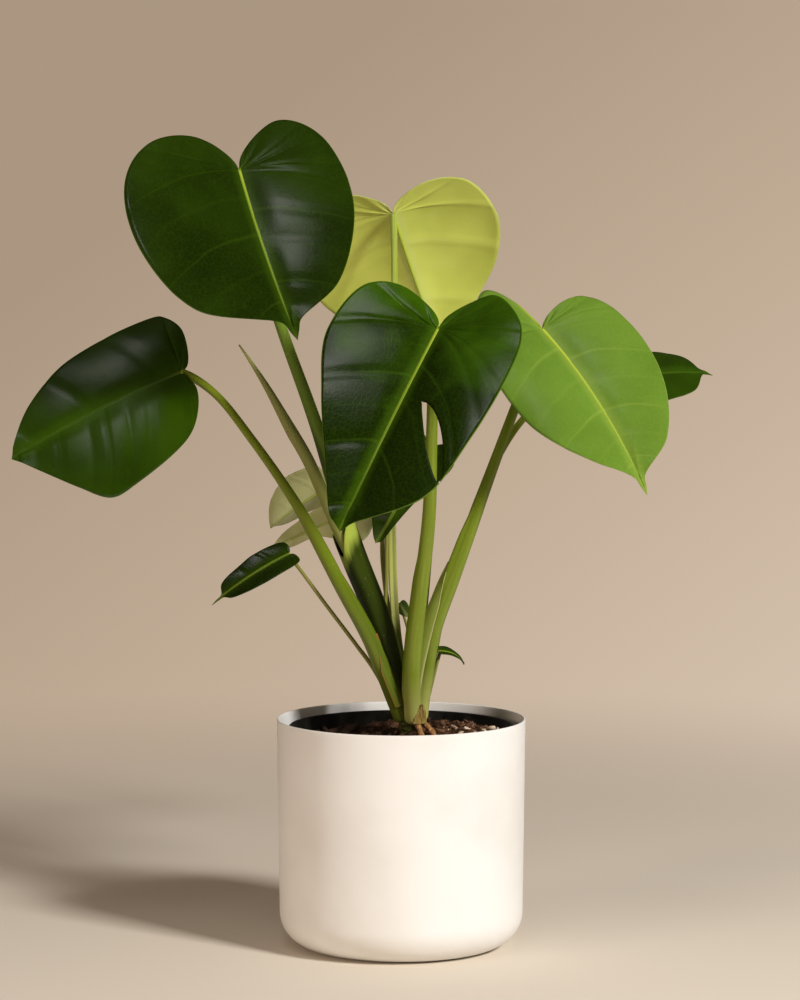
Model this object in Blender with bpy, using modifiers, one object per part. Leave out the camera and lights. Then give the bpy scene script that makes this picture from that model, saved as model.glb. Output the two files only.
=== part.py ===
"""A potted monstera: a cover pot, the nursery pot standing in it, soil, and a young plant of twelve
open leaves and one that is still rolled.

Metres, +Z up. The origin is the middle of the cover pot's underside, and the plant's front is -Y.
The plant is placed from the middle of the soil's surface, so it rides on the pots' sizes."""

from dataclasses import dataclass
from math import asin, cos, pi, radians, sin, sqrt, tan

import bmesh
import bpy
import numpy as np

MM = 0.001
GAP = 0.0003  # left between pieces that touch
WELD = 0.00001
BLADE_WELD = 0.00002

# ---------------------------------------------------------------- pots
POT_HEIGHT = 0.170
POT_RIM_RADIUS = 0.0925
POT_DRAFT = 0.0020  # how much narrower the wall is above the foot than at the rim
POT_WALL = 0.0024
POT_RIM_WALL = 0.0016
POT_FLOOR = 0.0030
POT_FOOT_RADIUS = 0.026  # rounding between the wall and the underside
POT_FOOT_STEPS = 7
POT_STEPS = 48
POT_RIM_FROM = 0.9  # share of the height from which the wall thins to the rim

NURSERY_DROP = 0.0055  # nursery rim below the cover pot's rim
NURSERY_SIDE_GAP = 0.0045  # between the nursery rim and the cover pot's wall
NURSERY_WALL = 0.0012
NURSERY_LIP = 0.0022  # how far the rim's band stands out
NURSERY_LIP_HEIGHT = 0.009
NURSERY_STEPS = 40
DRAIN_HOLES = 8
DRAIN_RADIUS = 0.005
DRAIN_CIRCLE = 0.046
DRAIN_STEPS = 10

SOIL_DROP = 0.0120  # middle of the soil's surface below the cover pot's rim
SOIL_MOUND = 0.0030  # how much lower the soil is at its edge
SOIL_RINGS = 6

# ---------------------------------------------------------------- stem
STEM_PLACE = (0.0075, -0.0030)  # off the pot's axis
STEM_FOOT_RADIUS = 0.0065
STEM_NECK_RADIUS = 0.0085
STEM_BURIED = 0.045
STEM_POINT = 0.004  # of the cone at its buried end
CROWN_HEIGHT = 0.032  # crown top above the soil
CROWN_RADIUS = 0.018  # of the dome that the stalks stand on
CROWN_EDGE = CROWN_RADIUS * 7 / 9  # the dome's rim
CROWN_BAND = 0.004  # height of the upright band under the dome
CROWN_BAND_DRAFT = 0.001
CROWN_FILLET = 0.0015  # where the band's underside meets the neck
CROWN_FILLET_HEIGHT = 0.006
CROWN_ARC_STEPS = 5
CROWN_STEPS = 24
STALK_SETTLE = 0.005  # stretch over which a stalk leaves the crown square to it

ROOT_RADIUS = 0.0022
ROOT_BURIED = 0.020
ROOT_START = 0.0085  # above the soil
ROOT_BEND = 0.0055  # above the soil, where it starts to dive
ROOT_DIP = 0.002  # below the soil, where it goes in
ROOT_BEND_AT = 0.4  # shares of its reach
ROOT_DIP_AT = 0.8
ROOT_POINTS = 10
ROOTS = {"left": (radians(-66), 0.010), "right": (radians(-34), 0.013)}  # direction from +X, and reach
SHEATH_THICKNESS = 0.0007
SHEATH_HEIGHT = 0.015
SHEATH_SPREAD = radians(44)
SHEATH_DIRECTION = radians(-62)  # from +X, seen from above
SHEATH_FLARE = 0.0012  # how far its top leans out
SHEATH_POINT = 0.75  # how much narrower it is at the top, as a share
SHEATH_STAND_OFF = 0.0004
SHEATH_COLUMNS = 6
SHEATH_ROWS = 5

# ---------------------------------------------------------------- leaves
BLADE_THICKNESS = 0.0008
VEIN_LEAN = 0.42  # how far a side vein starts behind the margin point that it runs to
SPLIT_REACH = 0.9985  # 1 would close the split at the margin
SPLIT_SKEW = 1.2  # above 1, the split is widest beyond its middle
SPLIT_ROUND = 0.55  # below 1, its ends are blunt
STALK_SIDES = 2  # bevel resolution
STALK_POINTS = 15


@dataclass
class Half:
    """One side of a blade, laid flat. Width is in millimetres, and the other sizes are shares of the
    half's width or of the blade's length."""

    width: float
    lobe: float  # depth of the lobe behind the stalk
    lobe_at: float  # where that lobe is deepest
    broad_at: float  # where the blade is widest
    belly: float  # width half-way along
    shoulder: float  # width three quarters along
    fold: float  # degrees that it rises from the rib
    curl: float  # degrees that it turns down on the way to its margin
    corner: float = None  # where the lobe turns into the side, if not just behind the stalk
    vein_lean: float = VEIN_LEAN
    sinus: tuple = (0.07, 0.45)  # on the notch's side: share of the width, share of the lobe's depth
    drip: tuple = (0.15, 0.043)  # the narrow tip: its width, and its length


@dataclass
class Split:
    """A slot that runs in from the margin of the right half, along a side vein."""

    at: float  # share of the margin, from the stalk to the tip
    start: float  # share of the way from rib to margin
    width: float  # share of the margin, at the widest


@dataclass
class Leaf:
    """A blade and its stalk. Places are in millimetres from the middle of the soil's surface."""

    name: str
    attach: tuple
    tip: tuple
    face: tuple  # the way the upper side looks
    droop: float  # degrees that the rib bends down along its length
    sweep: float  # degrees that the rib bends sideways
    left: Half  # left of the rib, seen from above with the tip down
    right: Half
    lean: tuple  # degrees that the stalk leaves the crown by, to +X and to +Y
    stalk: list  # points on the way up
    stalk_radii: tuple  # at the crown, low down, half-way and at the blade
    along: int = 10  # faces along a half
    across: int = 3  # faces across a half
    split: Split = None


LEAVES = [
    Leaf("high_left", (-118, -20, 417), (-74, -85, 296), (0.35, -1.0, 0.50), 14, -12,
         Half(96, 0.16, 0.28, 0.12, 1.03, 0.77, 23, -26, sinus=(0.07, 0.55), drip=(0.10, 0.09)),
         Half(76, 0.27, 0.47, 0.13, 0.90, 0.56, 23, -24, sinus=(0.09, 0.45), drip=(0.10, 0.09)),
         (-22, 16), [(-6, 8, 52), (-22, 9, 94), (-37, 7, 140), (-61, 0, 225), (-87, -4, 299), (-104, -6, 352)],
         (4.4, 5.8, 4.4, 3.2), 16, 4),
    Leaf("back", (-6, 70, 386), (37, 125, 265), (0.0, 1.0, 0.43), 29, 7,
         Half(76, 0.13, 0.36, 0.19, 0.85, 0.35, 17, -26), Half(77, 0.17, 0.36, 0.36, 0.91, 0.45, 14, -24),
         (5, 24), [(0, 15, 50), (-5, 22, 91), (-7, 34, 161), (-6, 48, 247), (-5, 58, 329)],
         (3.4, 3.0, 2.7, 2.3), 16, 4),
    Leaf("front_split", (26, -85, 303), (-43, -155, 165), (-0.35, -1.0, 0.75), 14, 4,
         Half(72, 0.13, 0.50, 0.19, 0.75, 0.38, 23, -10), Half(71, 0.19, 0.46, 0.0, 0.99, 0.79, 23, -29, vein_lean=1.1),
         (8, -34), [(8, -21, 44), (10, -28, 75), (14, -34, 110), (20, -45, 164), (22, -56, 223), (23, -66, 267)],
         (4.4, 5.6, 4.4, 3.2), 20, 6, Split(0.70, 0.33, 0.044)),
    Leaf("right", (104, -10, 301), (177, -75, 184), (0.30, -1.0, 0.53), 22, 8,
         Half(57, 0.34, 0.27, 0.0, 1.03, 0.54, 23, -44, sinus=(0.02, 0.60), drip=(0.08, 0.09)),
         Half(54, 0.06, 0.39, 0.08, 1.0, 0.59, 23, -27, drip=(0.08, 0.09)),
         (40, -8), [(19, -6, 48), (24, -10, 79), (37, -12, 117), (57, -13, 172), (83, -10, 242), (96, -4, 276)],
         (4.4, 6.2, 4.2, 3.2), 16, 4),
    Leaf("far_left", (-162, 0, 270), (-285, -30, 207), (0.05, -1.0, 0.55), 16, -4,
         Half(50, 0.10, 0.60, -0.03, 0.92, 0.58, 14, -30),
         Half(66, 0.02, 0.30, 0.52, 1.0, 0.72, 12, -30, corner=0.12),
         (-38, -14), [(-14, -13, 50), (-24, -17, 75), (-42, -20, 109), (-76, -14, 171), (-110, -6, 220),
                      (-138, -1, 254)],
         (4.4, 5.6, 3.6, 2.8), 16, 4),
    Leaf("far_right", (152, 90, 254), (239, 100, 263), (0.0, -0.6, 1.0), 34, 0,
         Half(36, 0.12, 0.40, 0.25, 0.96, 0.66, 10, -34, sinus=(0.07, 0.30), drip=(0.09, 0.10)),
         Half(36, 0.12, 0.40, 0.25, 0.96, 0.66, 10, -34, sinus=(0.07, 0.30), drip=(0.09, 0.10)),
         (30, 24), [(22, 13, 49), (29, 22, 83), (46, 36, 134), (72, 55, 201), (98, 72, 236), (125, 84, 249)],
         (3.4, 3.2, 2.8, 2.2), 12, 3),
    Leaf("low_left", (-83, -20, 136), (-139, -35, 100), (-0.30, -0.8, 0.60), 24, 0,
         Half(13, 0.05, 0.40, 0.32, 0.92, 0.58, 26, -20, drip=(0.11, 0.15)),
         Half(17, 0.05, 0.40, 0.32, 0.92, 0.58, 26, -20, drip=(0.11, 0.15)),
         (-50, 8), [(-20, 0, 48), (-32, -1, 65), (-59, -8, 102), (-73, -13, 122)],
         (1.8, 1.6, 1.5, 1.3), 10, 2),
    Leaf("back_left_upper", (-55, 50, 180), (-99, 55, 149), (-0.30, 1.0, 0.30), 30, 0,
         Half(15, 0.10, 0.40, 0.25, 0.92, 0.62, 40, -30), Half(28, 0.10, 0.40, 0.25, 0.92, 0.60, 8, -30),
         (-8, 42), [(-5, 22, 52), (-10, 31, 90), (-14, 38, 127), (-15, 42, 160), (-22, 45, 186),
                    (-39, 46, 194)],
         (1.9, 1.8, 1.6, 1.4)),
    Leaf("back_left_lower", (-38, 30, 164), (-98, 45, 135), (0.0, 1.0, -0.20), 20, 0,
         Half(24, 0.20, 0.45, 0.06, 0.28, 0.24, 14, -20), Half(17, 0.10, 0.40, 0.20, 0.90, 0.60, 40, -20),
         (-30, 38), [(-10, 17, 48), (-12, 22, 75), (-11, 24, 128), (-13, 23, 158), (-24, 24, 169)],
         (1.9, 1.8, 1.6, 1.4)),
    Leaf("middle", (20, 0, 211), (-19, -15, 144), (0.30, -1.0, 0.30), 20, 0,
         Half(28, 0.12, 0.40, 0.20, 0.90, 0.50, 16, -30), Half(22, 0.14, 0.45, 0.0, 0.46, 0.24, 16, -30),
         (16, 2), [(13, 2, 50), (17, 7, 92), (21, 12, 137), (24, 13, 181)],
         (3.0, 2.7, 2.4, 2.0), 12, 3),
    Leaf("tiny", (-1, 33, 94), (5, 32, 84), (0.0, -1.0, 0.4), 20, 0,
         Half(5, 0.10, 0.40, 0.25, 0.92, 0.60, 12, -20), Half(5, 0.10, 0.40, 0.25, 0.92, 0.60, 12, -20),
         (14, 44), [(8, 22, 50), (6, 32, 70), (1, 38, 87)],
         (1.5, 1.3, 1.1, 0.9), 6, 2),
    Leaf("low_right", (29, 6, 61), (47, 14, 50), (0.1, -0.3, 1.0), 60, 0,
         Half(8, 0.10, 0.40, 0.25, 0.92, 0.60, 18, -20), Half(8, 0.10, 0.40, 0.25, 0.92, 0.60, 18, -20),
         (50, 20), [(24, 5, 42)],
         (1.6, 1.4, 1.3, 1.1), 8, 2),
]

ROLLED_LEAF_LEAN = (-10, -8)
ROLLED_LEAF_ROUTE = [(-8, -7, 56), (-20, -9, 92), (-33, -10, 124), (-45, -10, 150), (-68, -10, 204),
                     (-81, -10, 227), (-100, -12, 261), (-119, -14, 290)]
ROLLED_LEAF_RADII = (3.0, 3.2, 4.4, 4.4, 0.6)
ROLLED_LEAF_POINTS = 17

# ---------------------------------------------------------------- materials
MATERIALS = {  # base colour, roughness, metallic
    "white_pot": ((0.86, 0.84, 0.80), 0.55, 0.0),
    "black_pot": ((0.015, 0.015, 0.016), 0.5, 0.0),
    "soil": ((0.055, 0.035, 0.022), 0.95, 0.0),
    "stem": ((0.12, 0.13, 0.04), 0.6, 0.0),
    "root": ((0.42, 0.27, 0.15), 0.75, 0.0),
    "sheath": ((0.38, 0.24, 0.11), 0.8, 0.0),
    "stalk": ((0.20, 0.29, 0.06), 0.4, 0.0),
    "blade": ((0.025, 0.085, 0.012), 0.3, 0.0),
    "young_blade": ((0.12, 0.28, 0.04), 0.35, 0.0),
    "rolled_blade": ((0.19, 0.24, 0.06), 0.4, 0.0),
}
YOUNG_LEAVES = ("right", "back")


def clear_scene():
    for obj in list(bpy.data.objects):
        bpy.data.objects.remove(obj, do_unlink=True)


def new_collection(name):
    made = bpy.data.collections.new(name)
    bpy.context.scene.collection.children.link(made)
    return made


def make_material(name):
    colour, roughness, metallic = MATERIALS[name]
    made = bpy.data.materials.new(name)
    made.use_nodes = True
    shader = made.node_tree.nodes["Principled BSDF"]
    shader.inputs["Base Color"].default_value = (*colour, 1.0)
    shader.inputs["Roughness"].default_value = roughness
    shader.inputs["Metallic"].default_value = metallic
    return made


def dress(obj, material):
    """Gives an object a material of its own, as each piece has."""
    made = make_material(material)
    made.name = obj.name + "_" + material
    obj.data.materials.append(made)


def add_mesh_object(name, mesh_maker, collection):
    mesh = bpy.data.meshes.new(name)
    shape = bmesh.new()
    mesh_maker(shape)
    shape.to_mesh(mesh)
    shape.free()
    mesh.shade_smooth()
    obj = bpy.data.objects.new(name, mesh)
    collection.objects.link(obj)
    return obj


def turned(name, profile, steps, collection, place=(0, 0, 0)):
    """A profile of (radius, height) points, outer side from top to bottom, screwed round +Z."""

    def line(shape):
        points = [shape.verts.new((radius, 0, height)) for radius, height in profile]
        for start, end in zip(points, points[1:]):
            shape.edges.new((start, end))

    obj = add_mesh_object(name, line, collection)
    obj.location = place
    screw = obj.modifiers.new("turn", "SCREW")
    screw.steps = steps
    screw.render_steps = steps
    screw.use_merge_vertices = True
    screw.merge_threshold = WELD
    screw.use_smooth_shade = True
    return obj


def cut(obj, cutter):
    boolean = obj.modifiers.new("cut_" + cutter.name, "BOOLEAN")
    boolean.operation = "DIFFERENCE"
    boolean.solver = "EXACT"
    boolean.object = cutter


def hide_cutter(obj):
    obj.hide_render = True
    obj.display_type = "WIRE"


# ---------------------------------------------------------------- curves
def spline(points, samples):
    """Points at shares 0..1 along a smooth curve through the given points, whose knots are spaced by
    the root of their distance, so that close points make no loops."""
    points = np.asarray(points, float)
    span = np.linalg.norm(np.diff(points, axis=0), axis=1) ** 0.5
    knots = np.concatenate([[0], np.cumsum(span)])
    slope = np.diff(points, axis=0) / span[:, None]
    tangent = np.empty_like(points)
    before = span[:-1, None]
    after = span[1:, None]
    tangent[1:-1] = (slope[:-1] * after + slope[1:] * before) / (before + after)
    tangent[0] = 2 * slope[0] - tangent[1]
    tangent[-1] = 2 * slope[-1] - tangent[-2]
    at = np.asarray(samples, float) * knots[-1]
    piece = np.clip(np.searchsorted(knots, at, side="right") - 1, 0, len(span) - 1)
    width = span[piece][:, None]
    x = ((at - knots[piece]) / span[piece])[:, None]
    return ((2 * x**3 - 3 * x**2 + 1) * points[piece] + (x**3 - 2 * x**2 + x) * width * tangent[piece]
            + (3 * x**2 - 2 * x**3) * points[piece + 1] + (x**3 - x**2) * width * tangent[piece + 1])


def even_points(points, count):
    """The spline read at points that are the same distance apart."""
    fine = spline(points, np.linspace(0, 1, 20 * count))
    run = np.concatenate([[0], np.cumsum(np.linalg.norm(np.diff(fine, axis=0), axis=1))])
    return np.stack([np.interp(np.linspace(0, run[-1], count), run, fine[:, axis]) for axis in range(3)], 1)


def tube(name, points, radii, collection, grow=0.0):
    """A round tube through the points. The radii are spread evenly over its length."""
    spread = np.interp(np.linspace(0, 1, len(points)), np.linspace(0, 1, len(radii)), radii) + grow
    curve = bpy.data.curves.new(name, "CURVE")
    curve.dimensions = "3D"
    curve.bevel_depth = float(spread.max())
    curve.bevel_resolution = STALK_SIDES
    curve.use_fill_caps = True
    run = curve.splines.new("POLY")
    run.points.add(len(points) - 1)
    for point, place, radius in zip(run.points, points, spread):
        point.co = (*place, 1)
        point.radius = radius / spread.max()
    obj = bpy.data.objects.new(name, curve)
    collection.objects.link(obj)
    return obj


def tube_cutter(name, points, radii, collection, grow):
    """The same tube as a closed mesh, a little fatter, for a Boolean."""
    source = tube(name + "_curve", points, radii, collection, grow)
    bpy.context.view_layer.update()
    evaluated = source.evaluated_get(bpy.context.evaluated_depsgraph_get())
    mesh = bpy.data.meshes.new_from_object(evaluated)
    shape = bmesh.new()
    shape.from_mesh(mesh)
    bmesh.ops.remove_doubles(shape, verts=shape.verts, dist=WELD)
    bmesh.ops.recalc_face_normals(shape, faces=shape.faces)
    shape.to_mesh(mesh)
    shape.free()
    obj = bpy.data.objects.new(name, mesh)
    obj.matrix_world = source.matrix_world
    collection.objects.link(obj)
    bpy.data.objects.remove(source, do_unlink=True)
    hide_cutter(obj)
    return obj


# ---------------------------------------------------------------- pots and soil
def pot_radius(height, inset=0.0):
    """The cover pot's wall, above its rounded foot."""
    return POT_RIM_RADIUS - POT_DRAFT * (1 - height / POT_HEIGHT) - inset


def foot_arc(centre_radius, centre_height, radius):
    """A quarter round from the wall, at the arc's widest, down to the underside."""
    turns = np.linspace(0, pi / 2, POT_FOOT_STEPS)
    return [(centre_radius + radius * cos(turn), centre_height - radius * sin(turn)) for turn in turns]


def build_cover_pot(collection):
    outer_arc_at = pot_radius(POT_FOOT_RADIUS) - POT_FOOT_RADIUS
    inner_round = POT_FOOT_RADIUS - POT_WALL
    inner_arc = foot_arc(outer_arc_at, POT_FLOOR + inner_round, inner_round)
    rim_round = POT_RIM_WALL / 3
    profile = [(0, POT_FLOOR)]
    profile += reversed(inner_arc)
    profile += [(pot_radius(POT_HEIGHT * POT_RIM_FROM, POT_WALL), POT_HEIGHT * POT_RIM_FROM),
                (pot_radius(POT_HEIGHT, POT_RIM_WALL), POT_HEIGHT - rim_round),
                (pot_radius(POT_HEIGHT, POT_RIM_WALL - rim_round), POT_HEIGHT),
                (pot_radius(POT_HEIGHT, rim_round), POT_HEIGHT),
                (pot_radius(POT_HEIGHT), POT_HEIGHT - rim_round)]
    profile += foot_arc(outer_arc_at, POT_FOOT_RADIUS, POT_FOOT_RADIUS)
    profile += [(0, 0)]
    pot = turned("cover_pot", profile, POT_STEPS, collection)
    dress(pot, "white_pot")
    return pot


NURSERY_TOP = POT_HEIGHT - NURSERY_DROP
NURSERY_BOTTOM = POT_FLOOR + GAP
NURSERY_MOUTH = POT_RIM_RADIUS - POT_DRAFT - POT_WALL - NURSERY_SIDE_GAP - NURSERY_LIP
NURSERY_FOOT = POT_RIM_RADIUS - POT_DRAFT - POT_FOOT_RADIUS  # the flat inside the cover pot's rounding


def nursery_radius(height, inset=0.0):
    """The nursery pot's tapered wall, under its lip."""
    share = (height - NURSERY_BOTTOM) / (NURSERY_TOP - NURSERY_BOTTOM)
    return NURSERY_FOOT + (NURSERY_MOUTH - NURSERY_FOOT) * share - inset


def build_nursery_pot(collection, cutters):
    floor = NURSERY_BOTTOM + NURSERY_WALL
    band = NURSERY_TOP - NURSERY_LIP_HEIGHT
    profile = [(0, floor),
               (nursery_radius(floor, NURSERY_WALL), floor),
               (nursery_radius(NURSERY_TOP, NURSERY_WALL), NURSERY_TOP),
               (nursery_radius(NURSERY_TOP) + NURSERY_LIP, NURSERY_TOP),
               (nursery_radius(NURSERY_TOP) + NURSERY_LIP, band),
               (nursery_radius(band), band),
               (nursery_radius(NURSERY_BOTTOM), NURSERY_BOTTOM),
               (0, NURSERY_BOTTOM)]
    pot = turned("nursery_pot", profile, NURSERY_STEPS, collection)

    def holes(shape):
        for index in range(DRAIN_HOLES):
            turn = 2 * pi * (index + 0.5) / DRAIN_HOLES
            made = bmesh.ops.create_cone(shape, cap_ends=True, segments=DRAIN_STEPS, radius1=DRAIN_RADIUS,
                                         radius2=DRAIN_RADIUS, depth=6 * NURSERY_WALL)
            place = (DRAIN_CIRCLE * cos(turn), DRAIN_CIRCLE * sin(turn), NURSERY_BOTTOM)
            bmesh.ops.translate(shape, verts=made["verts"], vec=place)

    cutter = add_mesh_object("drain_holes", holes, cutters)
    hide_cutter(cutter)
    cut(pot, cutter)
    dress(pot, "black_pot")
    return pot


SOIL_LEVEL = POT_HEIGHT - SOIL_DROP  # middle of its surface
SOIL_EDGE_LEVEL = SOIL_LEVEL - SOIL_MOUND


def build_soil(collection, cutters, routes):
    """The soil, shaped by the nursery pot, with a hole for the stem and one for each root."""
    bottom = NURSERY_BOTTOM + NURSERY_WALL + GAP
    edge = nursery_radius(SOIL_EDGE_LEVEL, NURSERY_WALL + GAP)
    shares = np.linspace(0, 1, SOIL_RINGS)
    profile = [(edge * share, SOIL_LEVEL - SOIL_MOUND * share**2) for share in shares]
    profile += [(nursery_radius(bottom, NURSERY_WALL + GAP), bottom), (0, bottom)]
    soil = turned("soil", profile, NURSERY_STEPS, collection)
    stem_cutter = turned("stem_hole", stem_profile(GAP), CROWN_STEPS, cutters, stem_place())
    hide_cutter(stem_cutter)
    cut(soil, stem_cutter)
    for side, route in routes.items():
        cut(soil, tube_cutter("root_hole_" + side, route, [ROOT_RADIUS], cutters, GAP))
    dress(soil, "soil")
    return soil


# ---------------------------------------------------------------- stem, roots and sheath
def stem_place():
    return (*STEM_PLACE, SOIL_LEVEL)


def dome_centre_height():
    return CROWN_HEIGHT - CROWN_RADIUS


def crown_edge_height():
    return dome_centre_height() + sqrt(CROWN_RADIUS**2 - CROWN_EDGE**2)


def stem_profile(grow=0.0):
    """Dome on top, flaring in to the neck, then a taper down into the soil."""
    edge_turn = asin(CROWN_EDGE / CROWN_RADIUS)
    dome = [((CROWN_RADIUS + grow) * sin(turn), dome_centre_height() + (CROWN_RADIUS + grow) * cos(turn))
            for turn in np.linspace(0, edge_turn, CROWN_ARC_STEPS + 1)]
    band_foot = crown_edge_height() - CROWN_BAND
    fillet_top = band_foot - (CROWN_EDGE - STEM_NECK_RADIUS) - CROWN_BAND_DRAFT
    return dome + [(CROWN_EDGE - CROWN_BAND_DRAFT + grow, band_foot - grow),
                   (STEM_NECK_RADIUS + CROWN_FILLET + grow, fillet_top),
                   (STEM_NECK_RADIUS + grow, fillet_top + CROWN_BAND_DRAFT - CROWN_FILLET_HEIGHT),
                   (STEM_NECK_RADIUS + grow, -STEM_POINT),
                   (STEM_FOOT_RADIUS + grow, -STEM_BURIED),
                   (0, -STEM_BURIED - STEM_POINT - grow)]


def build_stem(collection):
    stem = turned("stem", stem_profile(), CROWN_STEPS, collection, stem_place())
    dress(stem, "stem")
    return stem


def root_routes():
    """Each root leaves the neck, arches out over the soil and dives into it."""
    start = STEM_NECK_RADIUS + ROOT_RADIUS + 2 * GAP
    base = np.array(stem_place())
    up = np.array([0, 0, 1])
    routes = {}
    for side, (turn, reach) in ROOTS.items():
        out = np.array([cos(turn), sin(turn), 0])
        knots = [base + out * start + up * ROOT_START,
                 base + out * (start + ROOT_BEND_AT * reach) + up * ROOT_BEND,
                 base + out * (start + ROOT_DIP_AT * reach) - up * ROOT_DIP,
                 base + out * (start + reach) - up * ROOT_BURIED]
        routes[side] = even_points(knots, ROOT_POINTS)
    return routes


def build_roots(collection, routes):
    for side, route in routes.items():
        root = tube("aerial_root_" + side, route, [ROOT_RADIUS], collection)
        dress(root, "root")


def build_dried_sheath(collection):
    """A pointed papery scale, standing against the crown's edge."""
    inner = CROWN_EDGE + GAP + SHEATH_THICKNESS / 2 + SHEATH_STAND_OFF
    foot = crown_edge_height() - SHEATH_HEIGHT

    def sheet(shape):
        bmesh.ops.create_grid(shape, x_segments=SHEATH_COLUMNS, y_segments=SHEATH_ROWS, size=1)
        for vert in shape.verts:
            across = vert.co.x
            up = (vert.co.y + 1) / 2
            turn = SHEATH_DIRECTION + SHEATH_SPREAD / 2 * across * (1 - SHEATH_POINT * up**1.5)
            radius = inner + SHEATH_FLARE * up**2
            vert.co = (radius * cos(turn), radius * sin(turn), foot + SHEATH_HEIGHT * up)

    sheath = add_mesh_object("dried_sheath", sheet, collection)
    sheath.location = stem_place()
    solidify = sheath.modifiers.new("wall", "SOLIDIFY")
    solidify.thickness = SHEATH_THICKNESS
    solidify.offset = 0
    dress(sheath, "sheath")
    return sheath


# ---------------------------------------------------------------- leaves
def place_on_soil(point):
    """A point in millimetres from the middle of the soil's surface, in metres and world axes."""
    return np.array(point, float) * MM + np.array([0, 0, SOIL_LEVEL])


def unit(vector):
    return np.asarray(vector, float) / np.linalg.norm(vector)


def rib_length(leaf):
    """The rib is an arc, so it is longer than the straight line from stalk to tip."""
    chord = np.linalg.norm(place_on_soil(leaf.tip) - place_on_soil(leaf.attach))
    turn = radians(sqrt(leaf.droop**2 + leaf.sweep**2))
    return chord * (turn / 2) / sin(turn / 2)


def margin(half, length, samples):
    """The half's outline, laid flat: x away from the rib, y along it."""
    corner = -0.58 * half.lobe if half.corner is None else half.corner
    notch, notch_depth = half.sinus
    neck, drip = half.drip
    knots = [(0, 0), (notch, -notch_depth * half.lobe), (half.lobe_at, -half.lobe),
             (0.60 + half.lobe_at / 2, corner), (1.0, half.broad_at),
             (half.belly, max(0.48, half.broad_at + 0.14)), (half.shoulder, 0.78),
             (neck, 1 - drip), (neck / 2, 1 - drip / 2), (0, 1)]
    return spline(np.array(knots) * [half.width * MM, length], samples)


def flat_blade(half, length, along, across):
    """Where a point lies on the flat half: along picks the side vein, from stalk to tip, and across is
    its share of the way from rib to margin. A side vein is a quadratic curve."""
    edge = margin(half, length, along)
    soft = 0.04 * length
    back = edge[:, 1] - half.vein_lean * edge[:, 0]
    start = (back + np.sqrt(back**2 + soft**2)) / 2 - soft / 2 * (1 - along)
    start = np.clip(start, 0, length)
    start = np.where(along <= 0, 0, np.where(along >= 1, edge[:, 1], start))
    bend_x = edge[:, 0] / 2
    bend_y = start + 0.22 * (edge[:, 1] - start)
    x = 2 * across * (1 - across) * bend_x + across**2 * edge[:, 0]
    y = (1 - across) ** 2 * start + 2 * across * (1 - across) * bend_y + across**2 * edge[:, 1]
    return x, y


def turned_frame(leaf, length):
    """Rotation that puts the bent rib's chord on the line from stalk to tip, upper side to the face."""
    droop = radians(leaf.droop)
    sweep = radians(leaf.sweep)
    turn = sqrt(droop**2 + sweep**2)
    radius = length / turn
    towards = np.array([sweep, 0, -droop]) / turn
    chord = np.array([0, radius * sin(turn), 0]) + towards * radius * (1 - cos(turn))

    def basis(along, normal):
        along = unit(along)
        normal = unit(np.asarray(normal, float) - along * np.dot(normal, along))
        return np.stack([np.cross(along, normal), along, normal], 1)

    world = basis(place_on_soil(leaf.tip) - place_on_soil(leaf.attach), leaf.face)
    return world @ basis(chord, (0, 0, 1)).T


def bent_blade(leaf, half, side, x, y):
    """Rolls flat points into the leaf's shape: each cross-section is an arc that rises from the rib and
    turns down, carried along the rib, which is an arc as well."""
    length = rib_length(leaf)
    rise = radians(half.fold)
    curl = radians(half.curl) / (half.width * MM)
    out = (np.sin(rise + curl * x) - np.sin(rise)) / curl
    lift = (np.cos(rise) - np.cos(rise + curl * x)) / curl
    droop = radians(leaf.droop) / length
    sweep = radians(leaf.sweep) / length
    bend = sqrt(droop**2 + sweep**2)
    nx = sweep / bend
    nz = -droop / bend
    turn = bend * y
    rest = 1 - np.cos(turn)
    rib = np.stack([nx * rest / bend, np.sin(turn) / bend, nz * rest / bend], -1)
    sideways = np.stack([np.cos(turn) + nz * nz * rest, -nx * np.sin(turn), -nx * nz * rest], -1)
    upwards = np.stack([-nx * nz * rest, -nz * np.sin(turn), np.cos(turn) + nx * nx * rest], -1)
    local = rib + sideways * (side * out)[:, None] + upwards * lift[:, None]
    return place_on_soil(leaf.attach) + local @ turned_frame(leaf, length).T


def open_split(shape, leaf):
    """Parts the right half along the split's row, and moves both sides away from it."""
    row = 2 * leaf.split.at - 1
    rows = sorted({round(vert.co.y, 6) for vert in shape.verts})
    nearest = min(rows, key=lambda height: abs(height - row))
    seam = [edge for edge in shape.edges
            if all(abs(vert.co.y - nearest) < 1e-5 and -vert.co.x > leaf.split.start - 1e-5
                   for vert in edge.verts)]
    bmesh.ops.split_edges(shape, edges=seam)
    for vert in shape.verts:
        share = (-vert.co.x - leaf.split.start) / (1 - leaf.split.start)
        if abs(vert.co.y - nearest) > 1e-5 or share <= 0:
            continue
        middle = sum(face.calc_center_median().y for face in vert.link_faces) / len(vert.link_faces)
        opening = leaf.split.width * sin(pi * SPLIT_REACH * min(1, share) ** SPLIT_SKEW) ** SPLIT_ROUND
        vert.co.y += opening if middle > nearest else -opening


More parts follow.
